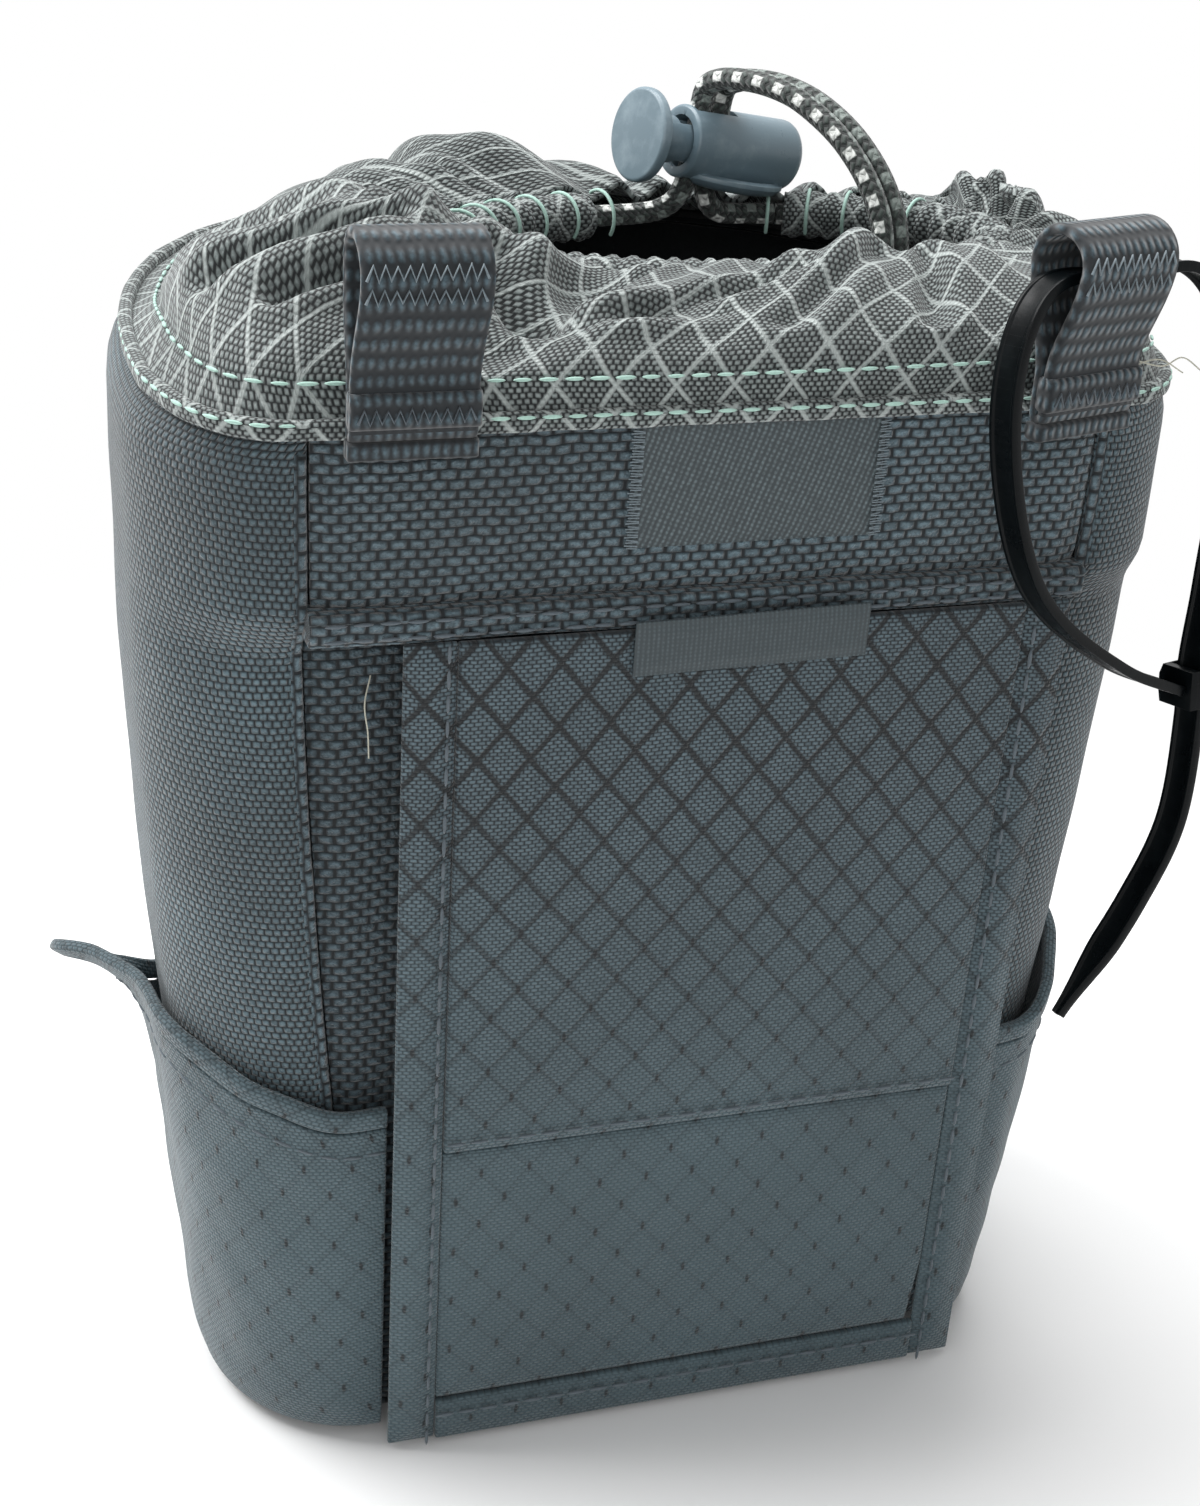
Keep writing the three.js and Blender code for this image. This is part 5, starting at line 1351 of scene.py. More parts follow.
@dataclass
class SidePocket:
    """A side pocket that wraps a corner, with a flared rim and a folded hem."""

    finishes: Finishes
    sleeve: BeltSleeve
    side: Side
    flare: float
    fabric: float = 0.0009
    front_gap: float = 0.0022
    side_gap: float = 0.0008
    rim_height: float = 0.044
    flare_power: float = 12.0
    rise: Table = (
        (0.0, 0.0003), (0.08, 0.0003), (0.16, 0.0024), (0.26, 0.0050), (0.36, 0.0072), (0.48, 0.0068),
        (0.57, 0.0050), (0.64, -0.0028), (0.72, -0.0062), (0.88, -0.0088), (1.0, -0.0090))
    ear: Table = (
        (0.0, 0.0), (0.42, 0.02), (0.47, 0.10), (0.53, 0.5), (0.575, 1.0), (0.61, 0.6), (0.65, 0.18), (0.7, 0.0),
        (1.0, 0.0))
    start_gap: float = 0.00015
    corner_share: float = 0.33
    bottom: float = 0.0014
    hem_width: float = 0.0015
    hem_height: float = 0.0024
    fullness: float = 0.0004
    fold_depth: float = 0.0007
    crease_depth: float = 0.00025

    def start_share(self, z: float) -> float:
        """Where the pocket starts on the outline."""
        form = OUTLINE
        reach = abs(self.sleeve.edge(self.side.value, z)) + self.start_gap
        flat = form.corner_x(z)
        if reach < flat:
            return form.corner_start_share * reach / flat
        angle = math.asin(min(1.0, (reach - flat) / (form.corner_radius + self.front_gap)))
        return mix(form.corner_start_share, form.corner_end_share, angle / (math.pi / 2))

    def point(self, u: float, v: float, extra: float) -> Vector:
        """A point of the pocket, from the sleeve's edge to the rear seam and from the bottom to the rim."""
        form = OUTLINE
        z = mix(self.bottom, self.rim_height + table_value(self.rise, u), v)
        share = mix(self.start_share(z), form.rear_seam_share, u)
        along = mix(self.front_gap, self.side_gap, smooth(u / self.corner_share))
        gap = along + self.flare * table_value(self.ear, u) * v ** self.flare_power
        return form.point(self.side.value, share, z, form.foot_inset(z) - gap - extra)

    def wrinkled(self, u: float, v: float, extra: float) -> Vector:
        """A point of the pocket with its folds and the pull of its seams."""
        place = self.point(u, v, extra)
        edge = smooth(min(u, 1 - u) / 0.08) * smooth(v / 0.1)
        fold = self.fold_depth * drift(Vector((place.x, place.y, place.z * 0.35)), 0.014, 2.0 + self.side.value)
        fold += self.crease_depth * drift(place, 0.006, 4.0)
        return self.point(u, v, extra + (self.fullness + fold) * edge)

    def build(self) -> None:
        """Makes and dresses the pocket and its hem."""
        name = f"{self.side.word}_pocket"
        piece = sheet_piece(f"{name}_cloth", lambda u, v: self.wrinkled(u, v, self.fabric),
                            lambda u, v: self.wrinkled(u, v, 0.0), 140, 72)
        dress(bevel(piece, 0.0003), self.finishes.ripstop, name)

        def at(u: float) -> Step:
            rim, before, after, below = (self.wrinkled(clamp(u + along), v, self.fabric / 2) for along, v in
                                         ((0, 1), (-0.01, 1), (0.01, 1), (0, 0.93)))
            along = (after - before).normalized()
            up = rim - below
            up = (up - along * up.dot(along)).normalized()
            place = rim + up * (self.hem_height / 2 + 0.0002)
            plump = 1 + 0.10 * drift(place, 0.004, 6.0)
            return ((place, along.cross(up), up),
                    rounded_section(self.hem_width / 2 * plump, self.hem_height / 2, 0.00055))
        hem = roll_piece(f"{name}_hem_fold", 150, at)
        dress(bevel(hem, 0.0002), self.finishes.ripstop, f"{name}_hem")

    def stitch_line(self, below_rim: float) -> list[Vector]:
        """A line on the outer face, a little below the rim."""
        share = 1 - below_rim / self.rim_height
        return [self.wrinkled(u / 60, share, self.fabric) for u in range(1, 60)]


# Collar, channel and cord

@dataclass
class Mouth:
    """The oval that the drawcord draws the collar in to."""

    half_width: float = 0.033
    half_depth: float = 0.016
    offset_x: float = 0.013
    offset_y: float = -0.007
    height: float = 0.1338
    exit_width: float = 0.026

    def point(self, turn: float, grow: float, z: float) -> Vector:
        """A point of the oval, grown outwards."""
        angle = math.pi * turn
        return Vector((self.offset_x + (self.half_width + grow) * math.sin(angle),
                       self.offset_y - (self.half_depth + grow) * math.cos(angle), z))

    def frames(self, exit_width: float, count: int) -> list[Frame]:
        """Frames round the oval, from one end of the exit to the other."""
        gap = exit_width / 2 / (math.pi * self.half_width)
        frames = []
        for k in range(count + 1):
            turn = mix(-1 + gap, 1 - gap, k / count)
            at = self.point(turn, 0, self.height)
            frames.append((at, (self.point(turn, 1, self.height) - at).normalized(), UP))
        return frames


@dataclass
class Collar:
    """The gathered collar: a fold that is stitched twice to the body, soft rolls, and pleats at the mouth.

    The tables give a value for a turn, from -1 in the rear over the left to 0 in front, and on to 1.
    """

    finishes: Finishes
    mouth: Mouth
    columns: int = 360
    rows: int = 72
    cloth: float = 0.0006
    foot_z: float = 0.1262
    fold_z: float = 0.1269
    stitch_rows: Table = ((0.1275, 0.0013), (0.1310, 0.0004))
    wrap_pitch: float = 0.052
    wrap_radius: float = 0.0030
    proud: float = 0.0010
    lean: float = 0.0034
    hem_rise: float = 0.0044
    hem_rear_rise: float = 0.0009
    rear_share: float = 0.42
    rim_z: float = 0.1360
    rim_grow: float = 0.0019
    pleats: int = 17
    pleat_depth: float = 0.0010
    wrinkle: float = 0.0012
    crease: float = 0.0005
    foot_wrinkle: float = 0.00012
    roll_depth: float = 0.0011
    crest_share: float = 0.7
    front_crest_share: float = 0.8
    tuck: float = 0.0030
    slope_power: float = 1.3
    rear_power: float = 1.8
    ear_turn: float = -0.905
    ear_width: float = 0.045
    ear_share: float = 0.8
    ear_depth: float = 0.13
    ear_rise: float = 0.0040
    crest: Table = (
        (-1.0, 0.1330), (-0.92, 0.1340), (-0.86, 0.1398), (-0.8, 0.1380), (-0.7, 0.1380), (-0.6, 0.1384),
        (-0.5, 0.1404), (-0.42, 0.1424), (-0.3, 0.1416), (-0.21, 0.1384), (-0.155, 0.1334), (-0.115, 0.1370),
        (-0.095, 0.1386), (-0.03, 0.1382), (0.02, 0.1394), (0.07, 0.1406), (0.12, 0.1380), (0.175, 0.1396),
        (0.22, 0.1386), (0.27, 0.1362), (0.34, 0.1372), (0.4, 0.1380), (0.52, 0.1402), (0.6, 0.1388),
        (0.7, 0.1335), (0.8, 0.1328), (1.0, 0.1330))
    bulge: Table = (
        (-1.0, 0.0), (-0.75, 0.2), (-0.62, 1.0), (-0.5, 2.2), (-0.4, 2.2), (-0.28, 1.1), (-0.18, 0.2), (-0.1, 0.7),
        (0.1, 1.0), (0.3, 0.9), (0.45, 0.7), (0.6, 0.3), (0.75, 0.0), (1.0, 0.0))
    folds: tuple[tuple[Pair, Pair, float, float], ...] = (
        ((-0.395, 0.24), (-0.335, 0.66), 0.030, 0.0042), ((-0.315, 0.30), (-0.285, 0.52), 0.026, 0.0032),
        ((-0.235, 0.72), (-0.145, 0.40), 0.030, 0.0026), ((-0.49, 0.30), (-0.44, 0.60), 0.030, 0.0018),
        ((-0.08, 0.40), (0.02, 0.66), 0.028, 0.0012), ((0.03, 0.34), (0.09, 0.72), 0.026, 0.0013),
        ((0.13, 0.34), (0.14, 0.72), 0.024, 0.0016), ((0.22, 0.30), (0.28, 0.66), 0.028, 0.0016),
        ((0.32, 0.26), (0.40, 0.60), 0.030, 0.0018), ((0.46, 0.30), (0.56, 0.66), 0.034, 0.0018),
        ((-0.13, 0.34), (-0.03, 0.42), 0.030, 0.0010), ((-0.85, 0.3), (-0.77, 0.7), 0.040, 0.0020))
    lines: dict[str, list[list[Vector]]] = field(default_factory=dict)

    def foot_point(self, turn: float, z: float) -> Vector:
        """A point of the foot's outer face, which leans inwards above the body at the sides."""
        rise = mix(self.hem_rise, self.hem_rear_rise, self.rear_at(turn))
        lean = self.lean * math.sin(math.pi * turn) ** 2 * clamp((z - OUTLINE.height) / rise)
        place = OUTLINE.ring(turn, OUTLINE.height, lean - self.proud + self.tuck_at(turn))
        return Vector((place.x, place.y, z))

    def rear_at(self, turn: float) -> float:
        """0 in front and at the sides, and 1 in the rear, where the collar lies low."""
        return smooth((abs(turn) - self.rear_share) / 0.14)

    def tuck_at(self, turn: float) -> float:
        """How far the foot is set in behind the soft top edge of the sides and the rear."""
        return self.tuck * behind_sides(abs(turn))

    def column(self, turn: float) -> list[Vector]:
        """The collar's outer face at one turn, from its foot to its rim."""
        rear = self.rear_at(turn)
        hem_top = OUTLINE.height + mix(self.hem_rise, self.hem_rear_rise, rear)
        rim = self.mouth.point(turn, self.rim_grow, self.rim_z)
        crest = table_value(self.crest, turn)
        puff = table_value(self.bulge, turn)
        ear = self.ear_rise * math.exp(-((turn - self.ear_turn) / self.ear_width) ** 2)
        top = mix(self.front_crest_share, self.crest_share, smooth((abs(turn) - 0.25) / 0.2))
        line = [self.foot_point(turn, mix(self.foot_z, hem_top, k / 8)) for k in range(9)]
        foot = self.foot_point(turn, hem_top)
        reach = Vector((rim.x - foot.x, rim.y - foot.y, 0))
        for k in range(1, 61):
            v = k / 60
            climb = math.sin(math.pi / 2 * min(1.0, v / top)) ** mix(1.0, self.rear_power, rear)
            z = mix(mix(hem_top, crest, climb), self.rim_z, smooth((v - top) / (1 - top)))
            z += ear * math.exp(-((v - self.ear_share) / self.ear_depth) ** 2)
            out = self.roll_depth * puff * math.sin(math.pi * clamp(v / 0.45)) ** 1.5
            place = foot + reach * v ** self.slope_power - reach.normalized() * out
            line.append(Vector((place.x, place.y, z)))
        return resample(line, self.rows)

    def fold_depth(self, turn: float, v: float) -> float:
        """How far the cloth sinks at a place, from the table of folds."""
        depth = 0.0
        for (t0, v0), (t1, v1), width, deep in self.folds:
            along = clamp(((turn - t0) * (t1 - t0) + (v - v0) * (v1 - v0) / 9) / ((t1 - t0) ** 2 + (v1 - v0) ** 2 / 9))
            off = math.hypot(turn - mix(t0, t1, along), (v - mix(v0, v1, along)) / 3)
            depth += deep * math.exp(-(off / (0.5 * width)) ** 2) * math.sin(math.pi * mix(0.2, 0.8, along))
            depth -= 0.45 * deep * math.exp(-((off - 0.85 * width) / (0.5 * width)) ** 2)
        return depth

    def grid(self) -> list[list[Vector]]:
        """The outer face with its folds, pleats and wrinkles, row by row."""
        columns = [self.column(2 * i / self.columns - 1) for i in range(self.columns)]
        rows = [[columns[i % self.columns][j] for i in range(self.columns + 1)] for j in range(self.rows + 1)]
        return self.moved(rows, self.relief)

    def moved(self, rows: list[list[Vector]], lift: Callable[[float, float, Vector], float]) -> list[list[Vector]]:
        """A ring of cloth moved along its normals.

        Args:
            rows: The ring, row by row, with its first column again at the end.
            lift: Gives the way outwards for a turn, a share of the height and a point.

        Returns:
            The moved ring.
        """
        lifted = []
        for j, row in enumerate(rows):
            out = []
            for i in range(self.columns):
                across = row[i + 1] - row[i - 1 if i else self.columns - 1]
                up = rows[min(j + 1, self.rows)][i] - rows[max(j - 1, 0)][i]
                normal = across.cross(up).normalized()
                out.append(row[i] + normal * lift(2 * i / self.columns - 1, j / self.rows, row[i]))
            lifted.append([*out, out[0].copy()])
        return lifted

    def relief(self, turn: float, v: float, place: Vector) -> float:
        """How far folds, pleats and wrinkles lift the cloth at a place."""
        free = smooth((v - 0.20) / 0.10) * smooth((1.0 - v) / 0.04)
        gather = smooth((v - 0.42) / 0.35)
        wave = math.sin(2 * math.pi * self.pleats * turn + 2.6 * drift(Vector((turn, 0, 0)), 0.11, 3.0))
        calm = mix(1.0, 0.5, smooth((0.34 - abs(turn - 0.05)) / 0.1))
        lift = self.pleat_depth * gather * wave * calm - free * self.fold_depth(turn, v)
        flat = Vector((place.x, place.y, place.z * 1.3))
        lift += free * (self.wrinkle * drift(flat, 0.015, 1.0) + self.crease * drift(flat, 0.0065, 2.0))
        return lift + (1 - free) * self.foot_wrinkle * drift(flat, 0.007, 5.0)

    def build(self) -> None:
        """Makes and dresses the collar and the fold at its foot, and keeps the lines for its stitches."""
        outer = self.grid()
        inner = self.moved(outer, lambda *_place: -self.cloth)
        half_girth = length_of([OUTLINE.ring(k / 60, OUTLINE.height) for k in range(61)])
        depth = length_of([row[self.columns // 2] for row in outer])

        def place(u: float, v: float) -> Pair:
            return (2 * u - 1) * half_girth * mix(1.0, 0.78, v), v * depth

        def look(grid: list[list[Vector]]) -> Surface:
            return lambda u, v: grid[round(v * self.rows)][round(u * self.columns)]
        piece = sheet_piece("collar_cloth", look(outer), look(inner), self.columns, self.rows, ring=True, places=place)
        dress(piece, self.finishes.collar, "collar")
        self.foot_fold()
        self.lines["rows"] = [self.level_line(z, out) for z, out in self.stitch_rows]
        self.lines["wraps"] = [self.wrap(1 + self.wrap_pitch * k) for k in range(-6, 8) if abs(k) > 1]

    def wrap(self, turn: float) -> list[Vector]:
        """One stitch over the channel, from its top down its inner face."""
        turn -= 2 if turn > 1 else 0
        line = []
        for k in range(13):
            angle = math.radians(mix(50, 215, k / 12))
            slip = 0.006 * math.sin(7 * turn) * k / 12
            line.append(self.mouth.point(turn + slip, self.wrap_radius * math.cos(angle),
                                         self.mouth.height + self.wrap_radius * math.sin(angle)))
        return line

    def level_line(self, z: float, out: float) -> list[Vector]:
        """A line round the foot at one height, a little outside its face and lower in the rear."""
        line = []
        for k in range(361):
            turn = 2 * k / 360 - 1
            low = mix(z, OUTLINE.height + 0.25 * (z - OUTLINE.height), self.rear_at(turn))
            place = self.foot_point(turn, low)
            away = (place - self.mouth.point(turn, 0, low)).normalized()
            line.append(place + away * out)
        return line

    def foot_fold(self) -> None:
        """The folded edge that is stitched to the body, a soft cord-like roll."""
        def at(share: float) -> Step:
            turn = 2 * share - 1
            inset = self.tuck_at(turn) - self.proud
            place = OUTLINE.ring(turn, self.fold_z, inset - 0.0001)
            outward = (OUTLINE.ring(turn, self.fold_z, inset - 0.0011) - place).normalized()
            plump = 1 + 0.08 * drift(place, 0.004, 3.0)
            return (place, outward, UP), rounded_section(0.00075 * plump, 0.00105 * plump, 0.0006)
        piece = roll_piece("collar_foot_fold", self.columns, at, closed=True)
        dress(piece, self.finishes.collar, "collar_hem")


@dataclass
class CordChannel:
    """The hem round the mouth that the drawcord runs in, puckered along its length."""

    finishes: Finishes
    mouth: Mouth
    radius: float = 0.0028
    cloth: float = 0.0008
    slit_degrees: float = 50.0
    pucker_pitch: float = 0.0021
    pucker_depth: float = 0.00045
    sides: int = 20

    def build(self) -> None:
        """Makes and dresses the channel."""
        slit = math.radians(self.slit_degrees)
        start = -math.pi / 2 + slit / 2
        angles = [start + (2 * math.pi - slit) * k / self.sides for k in range(self.sides + 1)]
        frames = self.mouth.frames(self.mouth.exit_width, 300)
        sections, walked = [], 0.0
        for k, (at, _side, _up) in enumerate(frames):
            walked += (at - frames[max(k - 1, 0)][0]).length
            pucker = 0.5 + 0.5 * math.sin(2 * math.pi * walked / self.pucker_pitch + 2 * drift(at, 0.008, 1.0))
            outer = self.radius - self.pucker_depth * pucker ** 2 + 0.0001
            sections.append([(radius * math.cos(angle), radius * math.sin(angle)) for radius, way in
                             ((outer, angles), (self.radius - self.cloth, reversed(angles))) for angle in way])
        piece = sweep_piece("cord_channel_hem", frames, sections)
        dress(bevel(piece, 0.00012), self.finishes.collar, "cord_channel")


# The two strands' routes, out of the channel behind the mouth, up through the cord lock, over in an arch
# and down into the mouth, as the CAD has them.
STRAND_LEFT = (
    (0.0016, 0.0080, 0.1338), (0.0042, 0.0084, 0.1338), (0.0072, 0.0086, 0.1339), (0.0097, 0.0082, 0.1344),
    (0.0114, 0.0073, 0.1358), (0.0123, 0.0068, 0.1380), (0.0128, 0.0069, 0.1405), (0.0134, 0.0070, 0.1440),
    (0.0141, 0.0072, 0.1486), (0.0150, 0.0050, 0.1502), (0.0166, 0.0017, 0.1508), (0.0184, -0.0015, 0.1508),
    (0.0204, -0.0047, 0.1501), (0.0223, -0.0077, 0.1486), (0.0241, -0.0104, 0.1466), (0.0257, -0.0127, 0.1440),
    (0.0268, -0.0144, 0.1414), (0.0276, -0.0156, 0.1386), (0.0280, -0.0162, 0.1352), (0.0282, -0.0163, 0.1310),
    (0.0282, -0.0162, 0.1265), (0.0281, -0.0159, 0.1220), (0.0280, -0.0157, 0.1175), (0.0280, -0.0156, 0.1140))
STRAND_RIGHT = (
    (0.0244, 0.0080, 0.1338), (0.0219, 0.0084, 0.1338), (0.0194, 0.0085, 0.1338), (0.0174, 0.0082, 0.1341),
    (0.0158, 0.0078, 0.1354), (0.0151, 0.0075, 0.1376), (0.0155, 0.0076, 0.1405), (0.0161, 0.0077, 0.1440),
    (0.0169, 0.0079, 0.1484), (0.0178, 0.0058, 0.1499), (0.0192, 0.0029, 0.1505), (0.0209, -0.0001, 0.1505),
    (0.0229, -0.0033, 0.1498), (0.0248, -0.0063, 0.1484), (0.0266, -0.0090, 0.1464), (0.0282, -0.0113, 0.1438),
    (0.0293, -0.0130, 0.1412), (0.0301, -0.0142, 0.1384), (0.0305, -0.0148, 0.1350), (0.0307, -0.0149, 0.1310),
    (0.0307, -0.0148, 0.1265), (0.0306, -0.0145, 0.1220), (0.0305, -0.0143, 0.1175), (0.0305, -0.0142, 0.1140))


@dataclass
class Drawcord:
    """The elastic cord: the part in the channel, two free strands and the knot that joins them."""

    finishes: Finishes
    mouth: Mouth
    diameter: float = 0.0025
    sides: int = 18
    exit_length: float = 0.001

    def tube(self, name: str, points: Sequence[Vector]) -> Object:
        """A round tube along points."""
        frames = line_frames(points, Vector((0.3, 0.2, 1)).normalized())
        section = oval(self.diameter / 2, self.diameter / 2, self.sides)
        return sweep_piece(name, frames, [section] * len(frames))

    def build(self) -> None:
        ring = self.mouth.frames(self.mouth.exit_width - 2 * self.exit_length, 200)
        hidden = self.tube("drawcord_in_channel", [at for at, _side, _up in ring])
        dress(hidden, self.finishes.cord, "drawcord")
        knot = self.knot()
        for name, route in (("drawcord_left_end", STRAND_LEFT), ("drawcord_right_end", STRAND_RIGHT)):
            points = [Vector(p) for p in route]
            line = resample(catmull_rom(points, 10), 220)
            strand = self.tube(f"{name}_braid", line)
            dress(strand, self.finishes.cord, name)
            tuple(points[0])
            length_of(line)

    def knot(self) -> Object:
        """A thumb knot of the cord, pulled tight, with a short tail below."""
        low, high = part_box("cord_end_knot")
        middle = (low + high) / 2
        radius = self.diameter / 2
        wide, tall = (high.x - low.x) / 2 - radius, (high.z - low.z) / 2 - radius
        points = []
        steps = 130
        for k in range(steps + 1):
            angle = 2 * math.pi * k / steps
            x = (math.sin(angle) + 2 * math.sin(2 * angle)) / 3
            y = math.sin(3 * angle) * 0.62
            z = (math.cos(angle) - 2 * math.cos(2 * angle)) / 3
            points.append(middle + Vector((x * wide, y * wide, z * tall)))
        frames = line_frames(points[:-1], UP)
        section = oval(0.86 * radius, 0.86 * radius, 14)
        piece = sweep_piece("cord_end_knot_braid", frames, [section] * len(frames), closed=True)
        return dress(piece, self.finishes.cord, "cord_end_knot")


@dataclass
class CordLock:
    """The barrel cord lock, drawn along its own axis from the face of its button."""

    finishes: Finishes
    face: tuple[float, float, float] = (0.0053, 0.005, 0.144)
    yaw_degrees: float = 14.2
    tilt_degrees: float = 10.1
    disc_radius: float = 0.0054
    disc_thickness: float = 0.0013
    stem_radius: float = 0.0027
    stem_end: float = 0.016
    barrel_start: float = 0.006
    barrel_end: float = 0.022
    barrel_radius: float = 0.0042
    rounding: float = 0.0014
    bore_end: float = 0.0204
    cord_place: float = 0.0096
    slot_length: float = 0.0059
    slot_width: float = 0.0032
    travel: float = 0.002
    flange_half_length: float = 0.0072
    flange_half_width: float = 0.0056
    flange_centre: float = 0.0142
    flange_thickness: float = 0.0015
    flange_drop: float = 0.0049
    flange_dish: float = 0.0007
    flange_rim: float = 0.0005
    overrun: float = 0.002
    spring_length: float = 0.0026
    cup_radius: float = 0.002
    gap: float = 0.0003
    sides: int = 64

    @property
    def matrix(self) -> Matrix:
        """The lock's place, as the CAD has it."""
        return (Matrix.Translation(self.face) @ Matrix.Rotation(math.radians(self.yaw_degrees), 4, "Z")
                @ Matrix.Rotation(math.radians(self.tilt_degrees), 4, "Y"))

    def turned(self, name: str, profile: Sequence[Pair]) -> Object:
        """A solid turned round the lock's axis.

        Args:
            name: Name of the piece.
            profile: Points of (place along the axis, radius), from one end on the axis to the other.

        Returns:
            The solid.
        """
        def flat(point: Vector) -> Pair:
            return point.x, math.atan2(point.y, point.z) * self.barrel_radius
        cloth, sides = ClothMesh(), self.sides
        cloth.loft([[Vector((x, *place)) for place in oval(radius, radius, sides)] for x, radius in profile[1:-1]],
                   flat)
        tail, first, last = len(cloth.points) - sides, len(cloth.points), len(cloth.points) + 1
        cloth.points.extend(Vector((profile[end][0], 0, 0)) for end in (0, -1))
        for k in range(sides):
            n = (k + 1) % sides
            cloth.add_flat((first, n, k), flat)
            cloth.add_flat((last, tail + k, tail + n), flat)
        return cloth.build(name)

    def block(self, name: str, x0: float, x1: float, half_y: float, z0: float, z1: float) -> Object:
        """A plain cutter along the lock's axes."""
        mesh = bpy.data.meshes.new(name)
        work = bmesh.new()
        bmesh.ops.create_cube(work, size=1)
        for vert in work.verts:
            vert.co = Vector((mix(x0, x1, vert.co.x + 0.5), 2 * half_y * vert.co.y, mix(z0, z1, vert.co.z + 0.5)))
        work.to_mesh(mesh)
        work.free()
        return linked(name, mesh)

    def combine(self, obj: Object, others: Sequence[tuple[Object, str]]) -> Object:
        """Joins and cuts solids, and takes the others away."""
        for other, operation in others:
            modifier = obj.modifiers.new(operation.lower(), "BOOLEAN")
            modifier.object = other
            modifier.operation = operation
            modifier.solver = "EXACT"
        bpy.context.view_layer.update()
        bake_modifiers(obj)
        for other, _operation in others:
            bpy.data.objects.remove(other)
        return obj

    def rounded(self, x0: float, x1: float, radius: float, first: float, last: float) -> list[Pair]:
        """Profile of a bar with rounded ends."""
        steps = 5
        turns = [math.pi / 2 * k / steps for k in range(steps + 1)]
        profile = [(x0, 0.0)]
        profile += [(x0 + first * (1 - math.cos(a)), radius - first * (1 - math.sin(a))) for a in turns]
        profile += [(x1 - last * (1 - math.cos(a)), radius - last * (1 - math.sin(a))) for a in reversed(turns)]
        return [*profile, (x1, 0.0)]

    def flange(self) -> Object:
        """The oval plate under the barrel, dished, with a thick rounded rim."""
        rings, sides = 8, self.sides
        top, under = -self.flange_drop + self.flange_thickness, -self.flange_drop
        order = [(share, top) for share in range(1, rings + 1)] + [(share, under) for share in range(rings, 0, -1)]
        rows = []
        for share, z in order:
            s = share / rings
            dish = self.flange_dish * s ** 3
            rim = self.flange_rim * (1 - math.sqrt(max(0.0, 1 - max(0.0, s - 0.86) ** 2 / 0.14 ** 2)))
            lift = dish - rim if z == top else dish + rim
            rows.append([Vector((self.flange_centre + x, y, z + lift)) for x, y in
                         oval(s * self.flange_half_length, s * self.flange_half_width, sides)])
        return disc_piece("lock_flange_part", rows)

    def build(self) -> None:
        """Makes and dresses the barrel and the button, and gives the spring its steel."""
        overrun = self.overrun
        slot_start, slot_end = self.cord_place - self.slot_length / 2, self.cord_place + self.slot_length / 2
        reach = self.barrel_radius + self.flange_drop + overrun
        bore_radius = self.stem_radius + self.gap
        barrel = self.turned("lock_barrel", self.rounded(self.barrel_start, self.barrel_end, self.barrel_radius,
                                                         0.0004, self.rounding))
        bore = self.turned("bore", [(self.barrel_start - overrun, 0.0), (self.barrel_start - overrun, bore_radius),
                                    (self.bore_end, bore_radius), (self.bore_end, 0.0)])
        slot = self.block("slot", slot_start, slot_end, self.slot_width / 2, -reach, reach)
        barrel = self.combine(barrel, [(self.flange(), "UNION"), (bore, "DIFFERENCE"), (slot, "DIFFERENCE")])
        disc = self.turned("lock_button", self.rounded(0.0, self.disc_thickness, self.disc_radius, 0.00045, 0.0003))
        stem = self.turned("stem", self.rounded(self.disc_thickness / 2, self.stem_end, self.stem_radius,
                                                0.0001, 0.0002))
        way = self.block("way", slot_start - self.travel, slot_end, self.slot_width / 2, -reach, reach)
        cup_start = self.stem_end - self.travel - self.spring_length / 2
        cup = self.turned("cup", [(cup_start, 0.0), (cup_start, self.cup_radius),
                                  (self.stem_end + overrun, self.cup_radius), (self.stem_end + overrun, 0.0)])
        button = self.combine(disc, [(stem, "UNION"), (way, "DIFFERENCE"), (cup, "DIFFERENCE")])
        for piece, body, node in ((barrel, Body.LOCK, "cord_lock_barrel"), (button, Body.BUTTON, "cord_lock_button")):
            piece.data.transform(self.matrix)
            piece.data.shade_smooth()
            bevel(piece, 0.00012, 2, 35)
            dress(piece, self.finishes.lock, node, body)
        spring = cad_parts["cord_lock_spring"]
        spring.data.materials.clear()
        spring.data.materials.append(self.finishes.steel)


# Loops and cable tie

